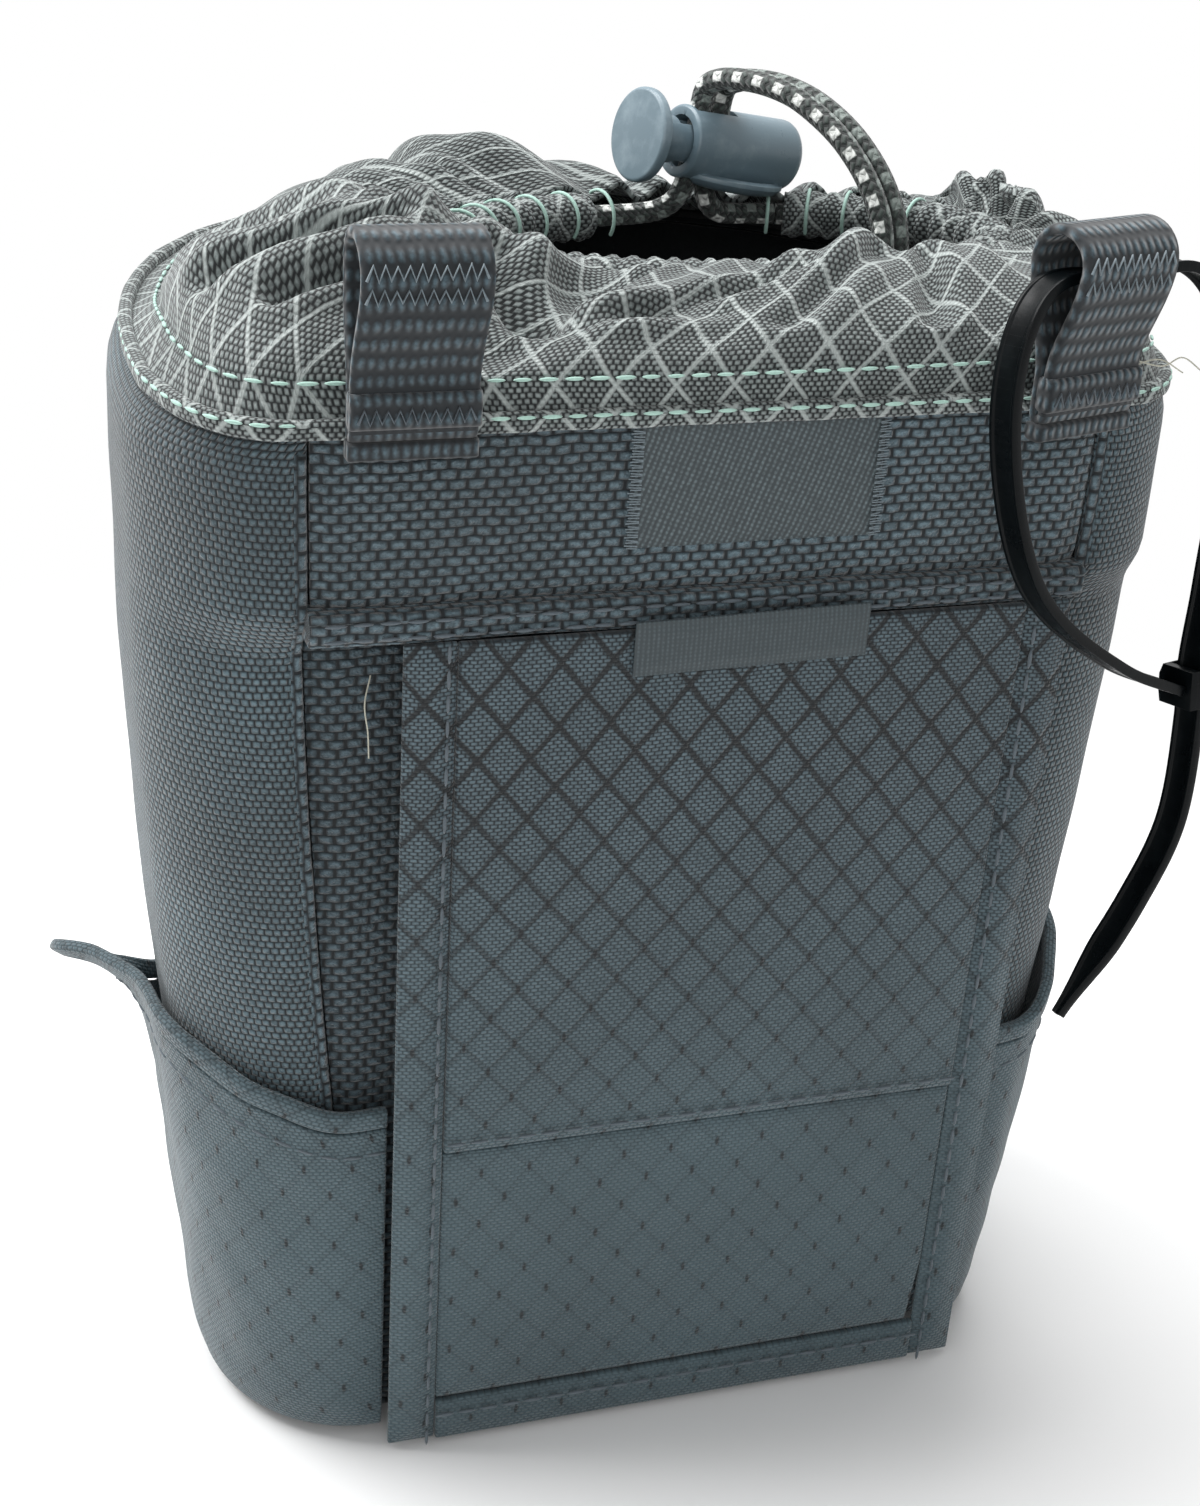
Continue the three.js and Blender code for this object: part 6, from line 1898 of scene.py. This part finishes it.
@dataclass
class WebbingLoop:
    """A folded loop of webbing that turns about the fold at its foot."""

    finishes: Finishes
    side: Side
    x: float
    y: float
    turn_degrees: float
    body: Body
    width: float = 0.0127
    thickness: float = 0.0013
    height: float = 0.0196
    eye_radius: float = 0.003
    straight: float = 0.0039
    pivot_z: float = 0.1272
    foot_low: float = 0.1243
    foot_top: float = 0.1262
    patch_low: float = 0.0004
    patch_top: float = 0.0040
    edge_radius: float = 0.00045
    zigzag_pitch: float = 0.0012
    zigzag_height: float = 0.0013
    lines: dict[str, list[list[Vector]]] = field(default_factory=dict)

    @property
    def matrix(self) -> Matrix:
        """The loop's place."""
        return Matrix.Translation((self.x, self.y, self.pivot_z)) @ Matrix.Rotation(
            math.radians(self.turn_degrees), 4, "Z")

    def ring(self) -> list[Pair]:
        """The ply's middle line, as (y, z) from the fold at the foot, up in front, over and down behind."""
        half = self.thickness / 2
        middle = self.eye_radius + half
        eye = self.height - self.eye_radius - self.thickness
        line = [(-half, 0.0)]
        line += [(-half, self.straight * k / 4) for k in range(1, 5)]
        for k in range(1, 13):
            share = k / 12
            line.append((mix(-half, -middle, smooth(share)), mix(self.straight, eye, share)))
        for k in range(1, 20):
            angle = math.pi * (1 - k / 20)
            line.append((middle * math.cos(angle), eye + middle * math.sin(angle)))
        for k in range(12, -1, -1):
            share = k / 12
            line.append((mix(half, middle, smooth(share)), mix(self.straight, eye, share)))
        line += [(half, self.straight * k / 4) for k in range(3, -1, -1)]
        line += [(half * math.cos(a), half * math.sin(a)) for a in (-math.pi / 4, -math.pi / 2, -3 * math.pi / 4)]
        return line

    def build(self) -> None:
        """Makes and dresses the loop and its foot, and keeps the lines for its stitches."""
        line = self.ring()
        frames, sections = [], []
        count = len(line)
        for k, (y, z) in enumerate(line):
            (y0, z0), (y1, z1) = line[k - 1], line[(k + 1) % count]
            along = Vector((0, y1 - y0, z1 - z0)).normalized()
            bend = 0.0002 * drift(Vector((0, y, z)), 0.006, 2.0 + self.turn_degrees)
            slide = 0.0004 * smooth(z / self.height) * drift(Vector((0, 0, z)), 0.009, 6.0)
            place = Vector((slide, y + bend * smooth(z / 0.006), z))
            frames.append((place, RIGHT, along.cross(RIGHT)))
            sections.append(rounded_section(self.width / 2, self.thickness / 2 - 0.00006, self.edge_radius, 3, 8))
        piece = sweep_piece(f"{self.side.word}_webbing_loop_ply", frames, sections, closed=True)
        piece.data.transform(self.matrix)
        dress(piece, self.finishes.webbing, f"{self.side.word}_webbing_loop", self.body)
        self.foot()
        self.mark_lines()

    def fold(self, name: str, low: float, high: float, y: float, half_depth: float) -> Object:
        """A flat folded end of the webbing.

        Args:
            name: Name of the piece.
            low: Its lower edge, from the pivot.
            high: Its upper edge, from the pivot.
            y: Place of its middle.
            half_depth: Half of its thickness.

        Returns:
            The piece.
        """
        def at(share: float) -> Step:
            thin = 1 - 0.4 * (1 - min(1.0, 7 * min(share, 1 - share))) ** 2
            return ((Vector((0, y, mix(low, high, share))), RIGHT, FRONT),
                    rounded_section(self.width / 2 + 0.0001, half_depth * thin, 0.3 * half_depth, 3, 8))
        piece = roll_piece(name, 14, at)
        piece.data.transform(self.matrix)
        return bevel(piece, 0.0002)

    def foot(self) -> None:
        """The part that is sewn to the band, and the folded end that is sewn on the loop's lower plies."""
        word, half = self.side.word, self.thickness
        low, high = self.foot_low - self.pivot_z, self.foot_top - self.pivot_z
        piece = self.fold(f"{word}_webbing_foot_fold", low, high, 0.0, half - 0.00005)
        dress(piece, self.finishes.webbing, f"{word}_webbing_foot")
        piece = self.fold(f"{word}_webbing_loop_end", self.patch_low, self.patch_top, -0.6 * half, 0.9 * half)
        dress(piece, self.finishes.webbing, body=self.body)

    def mark_lines(self) -> None:
        """Keeps the zigzags near the top and on the foot."""
        half = self.width / 2 - 0.0006
        eye = self.height - self.eye_radius - self.thickness

        def zigzag(z: float, y: float, tall: float = self.zigzag_height) -> list[Vector]:
            points = []
            steps = round(2 * half / self.zigzag_pitch) * 2
            for k in range(steps + 1):
                points.append(self.matrix @ Vector((mix(-half, half, k / steps), y,
                                                    z + (tall if k % 2 else 0.0) + 0.0001 * math.sin(k * 2.3))))
            return points
        front = -(self.eye_radius + self.thickness) - 0.00005
        self.lines["loop"] = [zigzag(eye + 0.0002, front, 0.0014), zigzag(eye - 0.0020, front + 0.0002)]
        self.lines["foot"] = [zigzag(0.0012, -1.5 * self.thickness - 0.0001)]


@dataclass
class CableTie:
    """The cable tie through the right loop's eye: strap, head and tail, in its own upright plane."""

    finishes: Finishes
    loop: WebbingLoop
    width: float = 0.0036
    thickness: float = 0.00115
    lean_degrees: float = 7.5
    left_reach: float = 0.0156
    right_reach: float = 0.0172
    eye_run: float = 0.0088
    offset: float = 0.0035
    seat_drop: float = 0.0016
    head_drop: float = 0.0466
    head_place: float = 0.0142
    head_width: float = 0.0052
    head_height: float = 0.0044
    head_depth: float = 0.005
    strap_rim: float = 0.0005
    strap_dip: float = 0.00028
    tail_length: float = 0.036
    tail_sweep: float = 0.0175
    gap: float = 0.0003
    rise_shares: Table = ((0.35, 0.18), (0.82, 0.62))
    left_shares: Table = ((0.0, 0.62), (0.35, 0.16))
    right_shares: Table = ((0.35, 0.2), (0.0, 0.85))
    entry_shares: Pair = (0.55, 0.6)
    tail_shares: Table = ((0.1, 0.45), (0.4, 0.68), (1.0, 1.0))

    @property
    def matrix(self) -> Matrix:
        """The tie's place in the loop's eye."""
        drop = self.loop.height - self.loop.eye_radius - self.loop.thickness - self.seat_drop
        return (self.loop.matrix @ Matrix.Translation((self.offset, 0, drop))
                @ Matrix.Rotation(math.radians(-self.lean_degrees), 4, "X"))

    def line(self) -> list[Vector]:
        """The strap's middle line, from the head round through the eye, back through the head and on."""
        head_top = self.head_drop - self.head_height / 2
        root = self.head_place - self.head_width / 2 - self.gap
        middle = head_top / 2
        shoulder = -(self.loop.width / 2 + self.offset + self.gap)
        across, down = self.entry_shares
        outline = [(root, self.head_drop)]
        outline += [(mix(root, -self.left_reach, p), mix(self.head_drop, middle, q)) for p, q in self.rise_shares]
        outline += [(mix(-self.left_reach, shoulder, p), middle * q) for p, q in self.left_shares]
        outline += [(shoulder, 0.0), (0.0, 0.0), (self.eye_run, 0.0)]
        outline += [(mix(self.right_reach, self.eye_run, p), middle * q) for p, q in self.right_shares]
        outline += [(mix(self.right_reach, self.head_place, across), mix(middle, head_top, down)),
                    (self.head_place, head_top), (self.head_place, self.head_drop + self.head_height)]
        outline += [(self.head_place - self.tail_sweep * p, self.head_drop + self.tail_length * q)
                    for p, q in self.tail_shares]
        return [Vector((p, 0.0, -q)) for p, q in outline]

    def centripetal(self, points: Sequence[Vector], steps: int) -> list[Vector]:
        """A smooth line through uneven points, with knots by the root of their distances, as the CAD's is."""
        ends = [points[0] * 2 - points[1], *points, points[-1] * 2 - points[-2]]
        out = []
        for a, b, c, d in zip(ends, ends[1:], ends[2:], ends[3:]):
            t1 = (b - a).length ** 0.5
            t2 = t1 + (c - b).length ** 0.5
            t3 = t2 + (d - c).length ** 0.5
            for k in range(steps):
                t = mix(t1, t2, k / steps)
                p = a.lerp(b, t / t1)
                q = b.lerp(c, (t - t1) / (t2 - t1))
                r = c.lerp(d, (t - t2) / (t3 - t2))
                s = p.lerp(q, t / t2)
                w = q.lerp(r, (t - t1) / (t3 - t1))
                out.append(s.lerp(w, (t - t1) / (t2 - t1)))
        return [*out, points[-1].copy()]

    def build(self) -> None:
        """Makes and dresses the strap and the head."""
        line = resample(self.centripetal(self.line(), 24), 260)
        frames, sections = [], []
        w, h, dip = self.width / 2, self.thickness / 2, self.strap_dip
        total = len(line) - 1
        for k, at in enumerate(line):
            along = (line[min(k + 1, total)] - line[max(k - 1, 0)]).normalized()
            up = Vector((-along.z, 0, along.x))
            frames.append((at, Vector((0, 1, 0)), up))
            tip = smooth((total - k) / 16)
            s = w * mix(0.35, 1.0, tip)
            flat = min(self.strap_rim, 0.4 * s)
            sections.append([(-s, -h), (-s + flat, -h), (-s + flat + 0.0001, -h + dip), (s - flat - 0.0001, -h + dip),
                             (s - flat, -h), (s, -h), (s, h), (s - flat, h), (s - flat - 0.0001, h - dip * 0.6),
                             (-s + flat + 0.0001, h - dip * 0.6), (-s + flat, h), (-s, h)])
        strap = sweep_piece("cable_tie_strap_ribbed", frames, sections)
        strap.data.transform(self.matrix)
        dress(bevel(strap, 0.00012, 2, 40), self.finishes.tie, "cable_tie_strap", Body.TIE)
        head = self.head()
        head.data.transform(self.matrix)
        dress(bevel(head, 0.00035, 3, 40), self.finishes.tie, "cable_tie_head", Body.TIE)

    def head(self) -> Object:
        """The head: a hollow block with a wedge-shaped top lip and the opening for the strap."""
        half_x, half_y, half_z = self.head_width / 2, self.head_depth / 2, self.head_height / 2
        slot_x = self.thickness / 2 + 2 * self.gap
        slot_y = self.width / 2 + self.gap
        levels = ((-half_z, 0.94), (-0.3 * half_z, 1.0), (0.5 * half_z, 1.0), (half_z, 0.9))
        loops = [(half_x * scale, half_y * scale, z) for z, scale in levels]
        loops += [(slot_x, slot_y, z) for z, _scale in reversed(levels)]
        cloth = ClothMesh()
        cloth.loft([[Vector((self.head_place + sx * x, sy * y, z - self.head_drop))
                     for sx, sy in ((-1, -1), (1, -1), (1, 1), (-1, 1))] for x, y, z in loops],
                   lambda point: (point.x, point.z), closed=True)
        return cloth.build("cable_tie_head_moulded")


# Thread

class Sewing:
    """Rows of stitches and lengths of thread, made with Geometry Nodes along lines of points."""

    def __init__(self) -> None:
        """Makes the two trees."""
        self.stitches = self.stitch_tree()
        self.threads = self.thread_tree()

    @staticmethod
    def new_tree(name: str, sizes: dict[str, float]) -> tuple[NodeTree, Node, Node]:
        """An empty tree with named sizes.

        Args:
            name: Its name.
            sizes: Its inputs, in metres, with their usual values.

        Returns:
            The tree, its input node and the lines as a curve.
        """
        tree = bpy.data.node_groups.new(name, "GeometryNodeTree")
        tree.interface.new_socket("Lines", in_out="INPUT", socket_type="NodeSocketGeometry")
        for label, value in sizes.items():
            tree.interface.new_socket(label, in_out="INPUT", socket_type="NodeSocketFloat").default_value = value
        tree.interface.new_socket("Thread", in_out="INPUT", socket_type="NodeSocketMaterial")
        tree.interface.new_socket("Sewn", in_out="OUTPUT", socket_type="NodeSocketGeometry")
        start = add_node(tree, "NodeGroupInput")
        return tree, start, add_node(tree, "GeometryNodeMeshToCurve", [start.outputs["Lines"]])

    @staticmethod
    def close_tree(tree: NodeTree, start: Node, made: NodeSocket) -> None:
        """Ends a tree in Realize Instances and Set Material."""
        real = add_node(tree, "GeometryNodeRealizeInstances", [made])
        soft = add_node(tree, "GeometryNodeSetShadeSmooth", {"Geometry": real})
        worn = add_node(tree, "GeometryNodeSetMaterial", {"Geometry": soft, "Material": start.outputs["Thread"]})
        add_node(tree, "NodeGroupOutput", [worn])

    def stitch_tree(self) -> NodeTree:
        """Tree that lays plump stitches end to end along lines."""
        tree, start, line = self.new_tree("stitch row", {"Pitch": 0.0025, "Stitch": 0.0021, "Width": 0.0004})
        even = add_node(tree, "GeometryNodeResampleCurve", {"Curve": line, "Length": start.outputs["Pitch"]},
                        mode="LENGTH")
        ball = add_node(tree, "GeometryNodeMeshUVSphere", {"Segments": 8, "Rings": 6, "Radius": 0.5})
        size = add_node(tree, "CombineXYZ", [start.outputs["Stitch"], start.outputs["Width"], start.outputs["Width"]])
        along = add_node(tree, "GeometryNodeInputTangent")
        turn = add_node(tree, "FunctionNodeAlignRotationToVector", {"Vector": along}, axis="X")
        chance = add_node(tree, "FunctionNodeRandomValue", {2: 0.88, 3: 1.06, "Seed": 7}, data_type="FLOAT")
        scale = add_node(tree, "VectorMath", [size, chance.outputs[1]], operation="MULTIPLY")
        laid = add_node(tree, "GeometryNodeInstanceOnPoints", {"Points": even, "Instance": ball.outputs["Mesh"],
                                                               "Rotation": turn, "Scale": scale})
        self.close_tree(tree, start, laid.outputs[0])
        return tree

    def thread_tree(self) -> NodeTree:
        """Tree that lays one unbroken thread along lines, for zigzags and loose ends."""
        tree, start, line = self.new_tree("thread run", {"Width": 0.0003})
        half = add_node(tree, "Math", [start.outputs["Width"], 0.5], operation="MULTIPLY")
        girth = add_node(tree, "GeometryNodeCurvePrimitiveCircle", {"Resolution": 6, "Radius": half})
        tube = add_node(tree, "GeometryNodeCurveToMesh", {"Curve": line, "Profile Curve": girth.outputs["Curve"],
                                                          "Fill Caps": True})
        self.close_tree(tree, start, tube.outputs[0])
        return tree

    def sew(self, name: str, lines: Sequence[Sequence[Vector]], material: Material, tree: NodeTree,
            body: Body = Body.POUCH, **sizes: float) -> None:
        """Sews along lines.

        Args:
            name: Name of the piece.
            lines: Lines of points.
            material: The thread.
            tree: The tree to sew with.
            body: The body that it rides on.
            sizes: The tree's sizes, in metres.
        """
        points, edges = [], []
        for line in lines:
            first = len(points)
            points.extend(line)
            edges.extend((k, k + 1) for k in range(first, len(points) - 1))
        mesh = bpy.data.meshes.new(name)
        mesh.from_pydata(points, edges, [])
        obj = linked(name, mesh)
        modifier = obj.modifiers.new("sewing", "NODES")
        modifier.node_group = tree
        values = {**sizes, "Thread": material}
        for item in tree.interface.items_tree:
            if item.in_out == "INPUT" and item.name in values:
                modifier[item.identifier] = values[item.name]
        dress(bake_modifiers(obj), material, body=body)


@dataclass
class Seams:
    """Every row of stitches on the pouch."""

    finishes: Finishes
    sewing: Sewing
    sleeve: BeltSleeve
    pockets: Sequence[SidePocket]
    collar: Collar
    loops: Sequence[WebbingLoop]
    pitch: float = 0.0027
    thread: float = 0.00042
    zigzag_thread: float = 0.0003
    fringe_thread: float = 0.00014
    fringe_count: int = 44

    def straight(self, start: tuple[float, float, float], end: tuple[float, float, float]) -> list[Vector]:
        """A slightly wavering line."""
        a, b = Vector(start), Vector(end)
        line = []
        for k in range(41):
            place = a.lerp(b, k / 40)
            line.append(place + Vector((0, 0, 0.0001 * drift(place, 0.01, 9.0))))
        return line

    def build(self) -> None:
        """Sews every row."""
        form, sleeve, sew = OUTLINE, self.sleeve, self.sewing.sew
        stitches, threads = self.sewing.stitches, self.sewing.threads
        row = {"Pitch": self.pitch, "Stitch": 0.86 * self.pitch, "Width": self.thread}
        dark, mint = self.finishes.dark_thread, self.finishes.mint
        reach = form.corner_x(form.welt_bottom) - 0.0022
        welt_y = form.band_y - 0.0019
        rows = [self.straight((-reach, welt_y, z), (reach, welt_y, z)) for z in
                (form.welt_bottom + 0.0007, form.welt_bottom + 0.0024)]
        sew("welt_stitches", rows, dark, stitches, **row)
        face, proud = sleeve.face_y - 0.0005, sleeve.face_y - sleeve.lap_proud - 0.0005
        top, hem = form.welt_bottom - 0.001, sleeve.foot + sleeve.hem_height
        rows = []
        for side in (-1, 1):
            inner = sleeve.strip_width - 0.0011
            rows.append(self.straight((sleeve.edge(side, 0.001) - side * inner, face, 0.0015),
                                      (sleeve.edge(side, top) - side * inner, face, top)))
        left = sleeve.edge(-1, sleeve.lap_height) + sleeve.strip_width + 0.0012
        right = sleeve.edge(1, sleeve.lap_height) - sleeve.strip_width - 0.0012
        rows += [self.straight((left, proud, z), (right, proud, z)) for z in (sleeve.lap_height + 0.0016, hem - 0.0014)]
        sew("sleeve_stitches", rows, dark, stitches, **row)
        rows = [pocket.stitch_line(0.0032) for pocket in self.pockets]
        sew("pocket_stitches", rows, dark, stitches, **row)
        low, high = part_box("woven_label")
        fringes = []
        for x, sign in ((low.x, 1), (high.x, -1)):
            for k in range(self.fringe_count):
                z = mix(low.z + 0.0002, high.z + 0.0012, k / (self.fringe_count - 1))
                fringes.append([Vector((x - sign * (0.0002 + 0.0003 * math.sin(k * 5.1) ** 2), low.y + 0.0001, z)),
                                Vector((x + sign * 0.0009, low.y - 0.0001, z + 0.0001 * math.sin(k * 3.7)))])
        sew("label_fringe", fringes, self.finishes.grey_thread, threads, Width=self.fringe_thread)
        sew("collar_stitches", self.collar.lines["rows"], mint, stitches, Pitch=0.0026, Stitch=0.0021,
            Width=self.thread)
        sew("channel_stitches", self.collar.lines["wraps"], mint, threads, Width=0.00045)
        for loop in self.loops:
            for name, lines, thread in (("loop", "loop", self.finishes.grey_thread), ("end", "foot", dark)):
                sew(f"{loop.side.word}_{name}_zigzag", loop.lines[lines], thread, threads, loop.body,
                    Width=self.zigzag_thread)
        sew("loose_threads", self.loose_ends(), self.finishes.pale_thread, threads, Width=0.00016)

    def loose_ends(self) -> list[list[Vector]]:
        """Thread ends that stick out of the seams, as listed curves."""
        ends = (((-0.0362, -0.0425, 0.1000), (-0.0371, -0.0440, 0.0975), (-0.0368, -0.0444, 0.0945),
                 (-0.0366, -0.0442, 0.0915)),
                ((0.0430, -0.0470, 0.1318), (0.0462, -0.0478, 0.1312), (0.0490, -0.0470, 0.1318),
                 (0.0520, -0.0465, 0.1300)),
                ((0.0432, -0.0468, 0.1310), (0.0460, -0.0474, 0.1318), (0.0492, -0.0472, 0.1302)))
        return [resample(catmull_rom([Vector(p) for p in end], 8), 24) for end in ends]


# Studio

@dataclass
class Studio:
    """Pale floor, white surround, soft lamps and the camera."""

    eye: tuple[float, float, float] = (-0.088756, -0.258766, 0.200650)
    right: tuple[float, float, float] = (0.949019, -0.308909, 0.062750)
    up: tuple[float, float, float] = (0.081929, 0.433953, 0.897203)
    back: tuple[float, float, float] = (-0.304385, -0.846321, 0.437138)
    lens: float = 57.37
    sensor: float = 36.0
    floor_half: float = 3.0
    clear_from: float = 0.07
    clear_to: float = 0.24
    surround: float = 0.42

    def build(self) -> None:
        """Makes the studio."""
        self.camera()
        self.floor()
        self.world()
        aim = Vector((0, 0, 0.07))
        self.lamp("key_lamp", Vector((-0.55, 0.35, 0.75)), aim, 0.55, 9.5)
        self.lamp("overhead_lamp", Vector((0.05, 0.25, 0.95)), aim, 0.60, 8.0)
        self.lamp("front_lamp", Vector((-0.35, -0.95, 0.45)), aim, 0.80, 2.5)

    def camera(self) -> None:
        """The camera at the photograph's place."""
        data = bpy.data.cameras.new("camera")
        data.lens, data.sensor_width, data.sensor_fit = self.lens, self.sensor, "AUTO"
        data.clip_start = 0.01
        camera = linked("camera", data)
        turn = Matrix((self.right, self.up, self.back)).transposed()
        camera.matrix_world = Matrix.Translation(self.eye) @ turn.to_4x4()
        bpy.context.scene.camera = camera

    def seen(self, tree: NodeTree) -> NodeSocket:
        """1 for rays from the camera, from gloss and through glass, and 0 for the light that falls on things."""
        path = add_node(tree, "LightPath")
        first = add_node(tree, "Math", [path.outputs["Is Camera Ray"], path.outputs["Is Glossy Ray"]],
                         operation="MAXIMUM")
        return add_node(tree, "Math", [first, path.outputs["Is Transmission Ray"]], operation="MAXIMUM").outputs[0]

    def floor(self) -> None:
        """A pale floor that keeps the shadow near the pouch and clears to white further out."""
        mesh = bpy.data.meshes.new("floor")
        half = self.floor_half
        mesh.from_pydata([(-half, -half, 0), (half, -half, 0), (half, half, 0), (-half, half, 0)], [], [(0, 1, 2, 3)])
        material, tree, shader = new_material("painted floor, white")
        plug(shader, {"Base Color": linear("#fbfbfb"), "Roughness": 0.9, "Specular IOR Level": 0.1})
        place = add_node(tree, "TexCoord")
        far = add_node(tree, "VectorMath", [place.outputs["Object"]], operation="LENGTH")
        clear = add_node(tree, "MapRange", [far.outputs["Value"], self.clear_from, self.clear_to],
                         interpolation_type="SMOOTHSTEP")
        amount = add_node(tree, "Math", [clear, self.seen(tree)], operation="MULTIPLY")
        white = add_node(tree, "Emission", {"Strength": 1.0})
        both = add_node(tree, "MixShader", [amount, shader, white])
        plug(shader.outputs[0].links[0].to_node, {"Surface": both})
        mesh.materials.append(material)
        linked("floor", mesh)

    def world(self) -> None:
        """A white surround, at full strength where it is seen and dimmer as light."""
        world = bpy.data.worlds.new("surround")
        world.use_nodes = True
        tree = world.node_tree
        tree.nodes.clear()
        strength = add_node(tree, "MapRange", {0: self.seen(tree), 3: self.surround, 4: 1.0})
        sky = add_node(tree, "Background", {"Color": (1, 1, 1, 1), "Strength": strength})
        add_node(tree, "OutputWorld", {"Surface": sky})
        bpy.context.scene.world = world

    def lamp(self, name: str, place: Vector, aim: Vector, size: float, power: float) -> None:
        """A square soft lamp.

        Args:
            name: Its name.
            place: Where it stands.
            aim: What it points at.
            size: Its side, in metres.
            power: Its power, in watts.
        """
        data = bpy.data.lights.new(name, "AREA")
        data.size, data.energy = size, power
        lamp = linked(name, data)
        lamp.matrix_world = Matrix.Translation(place) @ (place - aim).to_track_quat("Z", "Y").to_matrix().to_4x4()


def main() -> None:
    """Builds the studio and the whole pouch."""
    bpy.context.scene.view_settings.view_transform = "Standard"
    Studio().build()
    finishes, mouth = Finishes(), Mouth()
    Drawcord(finishes, mouth).build()
    Shell(finishes).build()
    sleeve = BeltSleeve(finishes)
    sleeve.build()
    Labels(finishes).build()
    pockets = [SidePocket(finishes, sleeve, Side.LEFT, 0.0088), SidePocket(finishes, sleeve, Side.RIGHT, 0.003)]
    collar = Collar(finishes, mouth)
    loops = [WebbingLoop(finishes, Side.LEFT, -0.0335, -0.0459, 0.0, Body.LEFT_LOOP),
             WebbingLoop(finishes, Side.RIGHT, 0.0373, -0.0479, 15.0, Body.RIGHT_LOOP)]
    for part in (*pockets, collar, CordChannel(finishes, mouth), CordLock(finishes), *loops,
                 CableTie(finishes, loops[1])):
        part.build()
    Seams(finishes, Sewing(), sleeve, pockets, collar, loops).build()


if __name__ == "__main__":
    main()
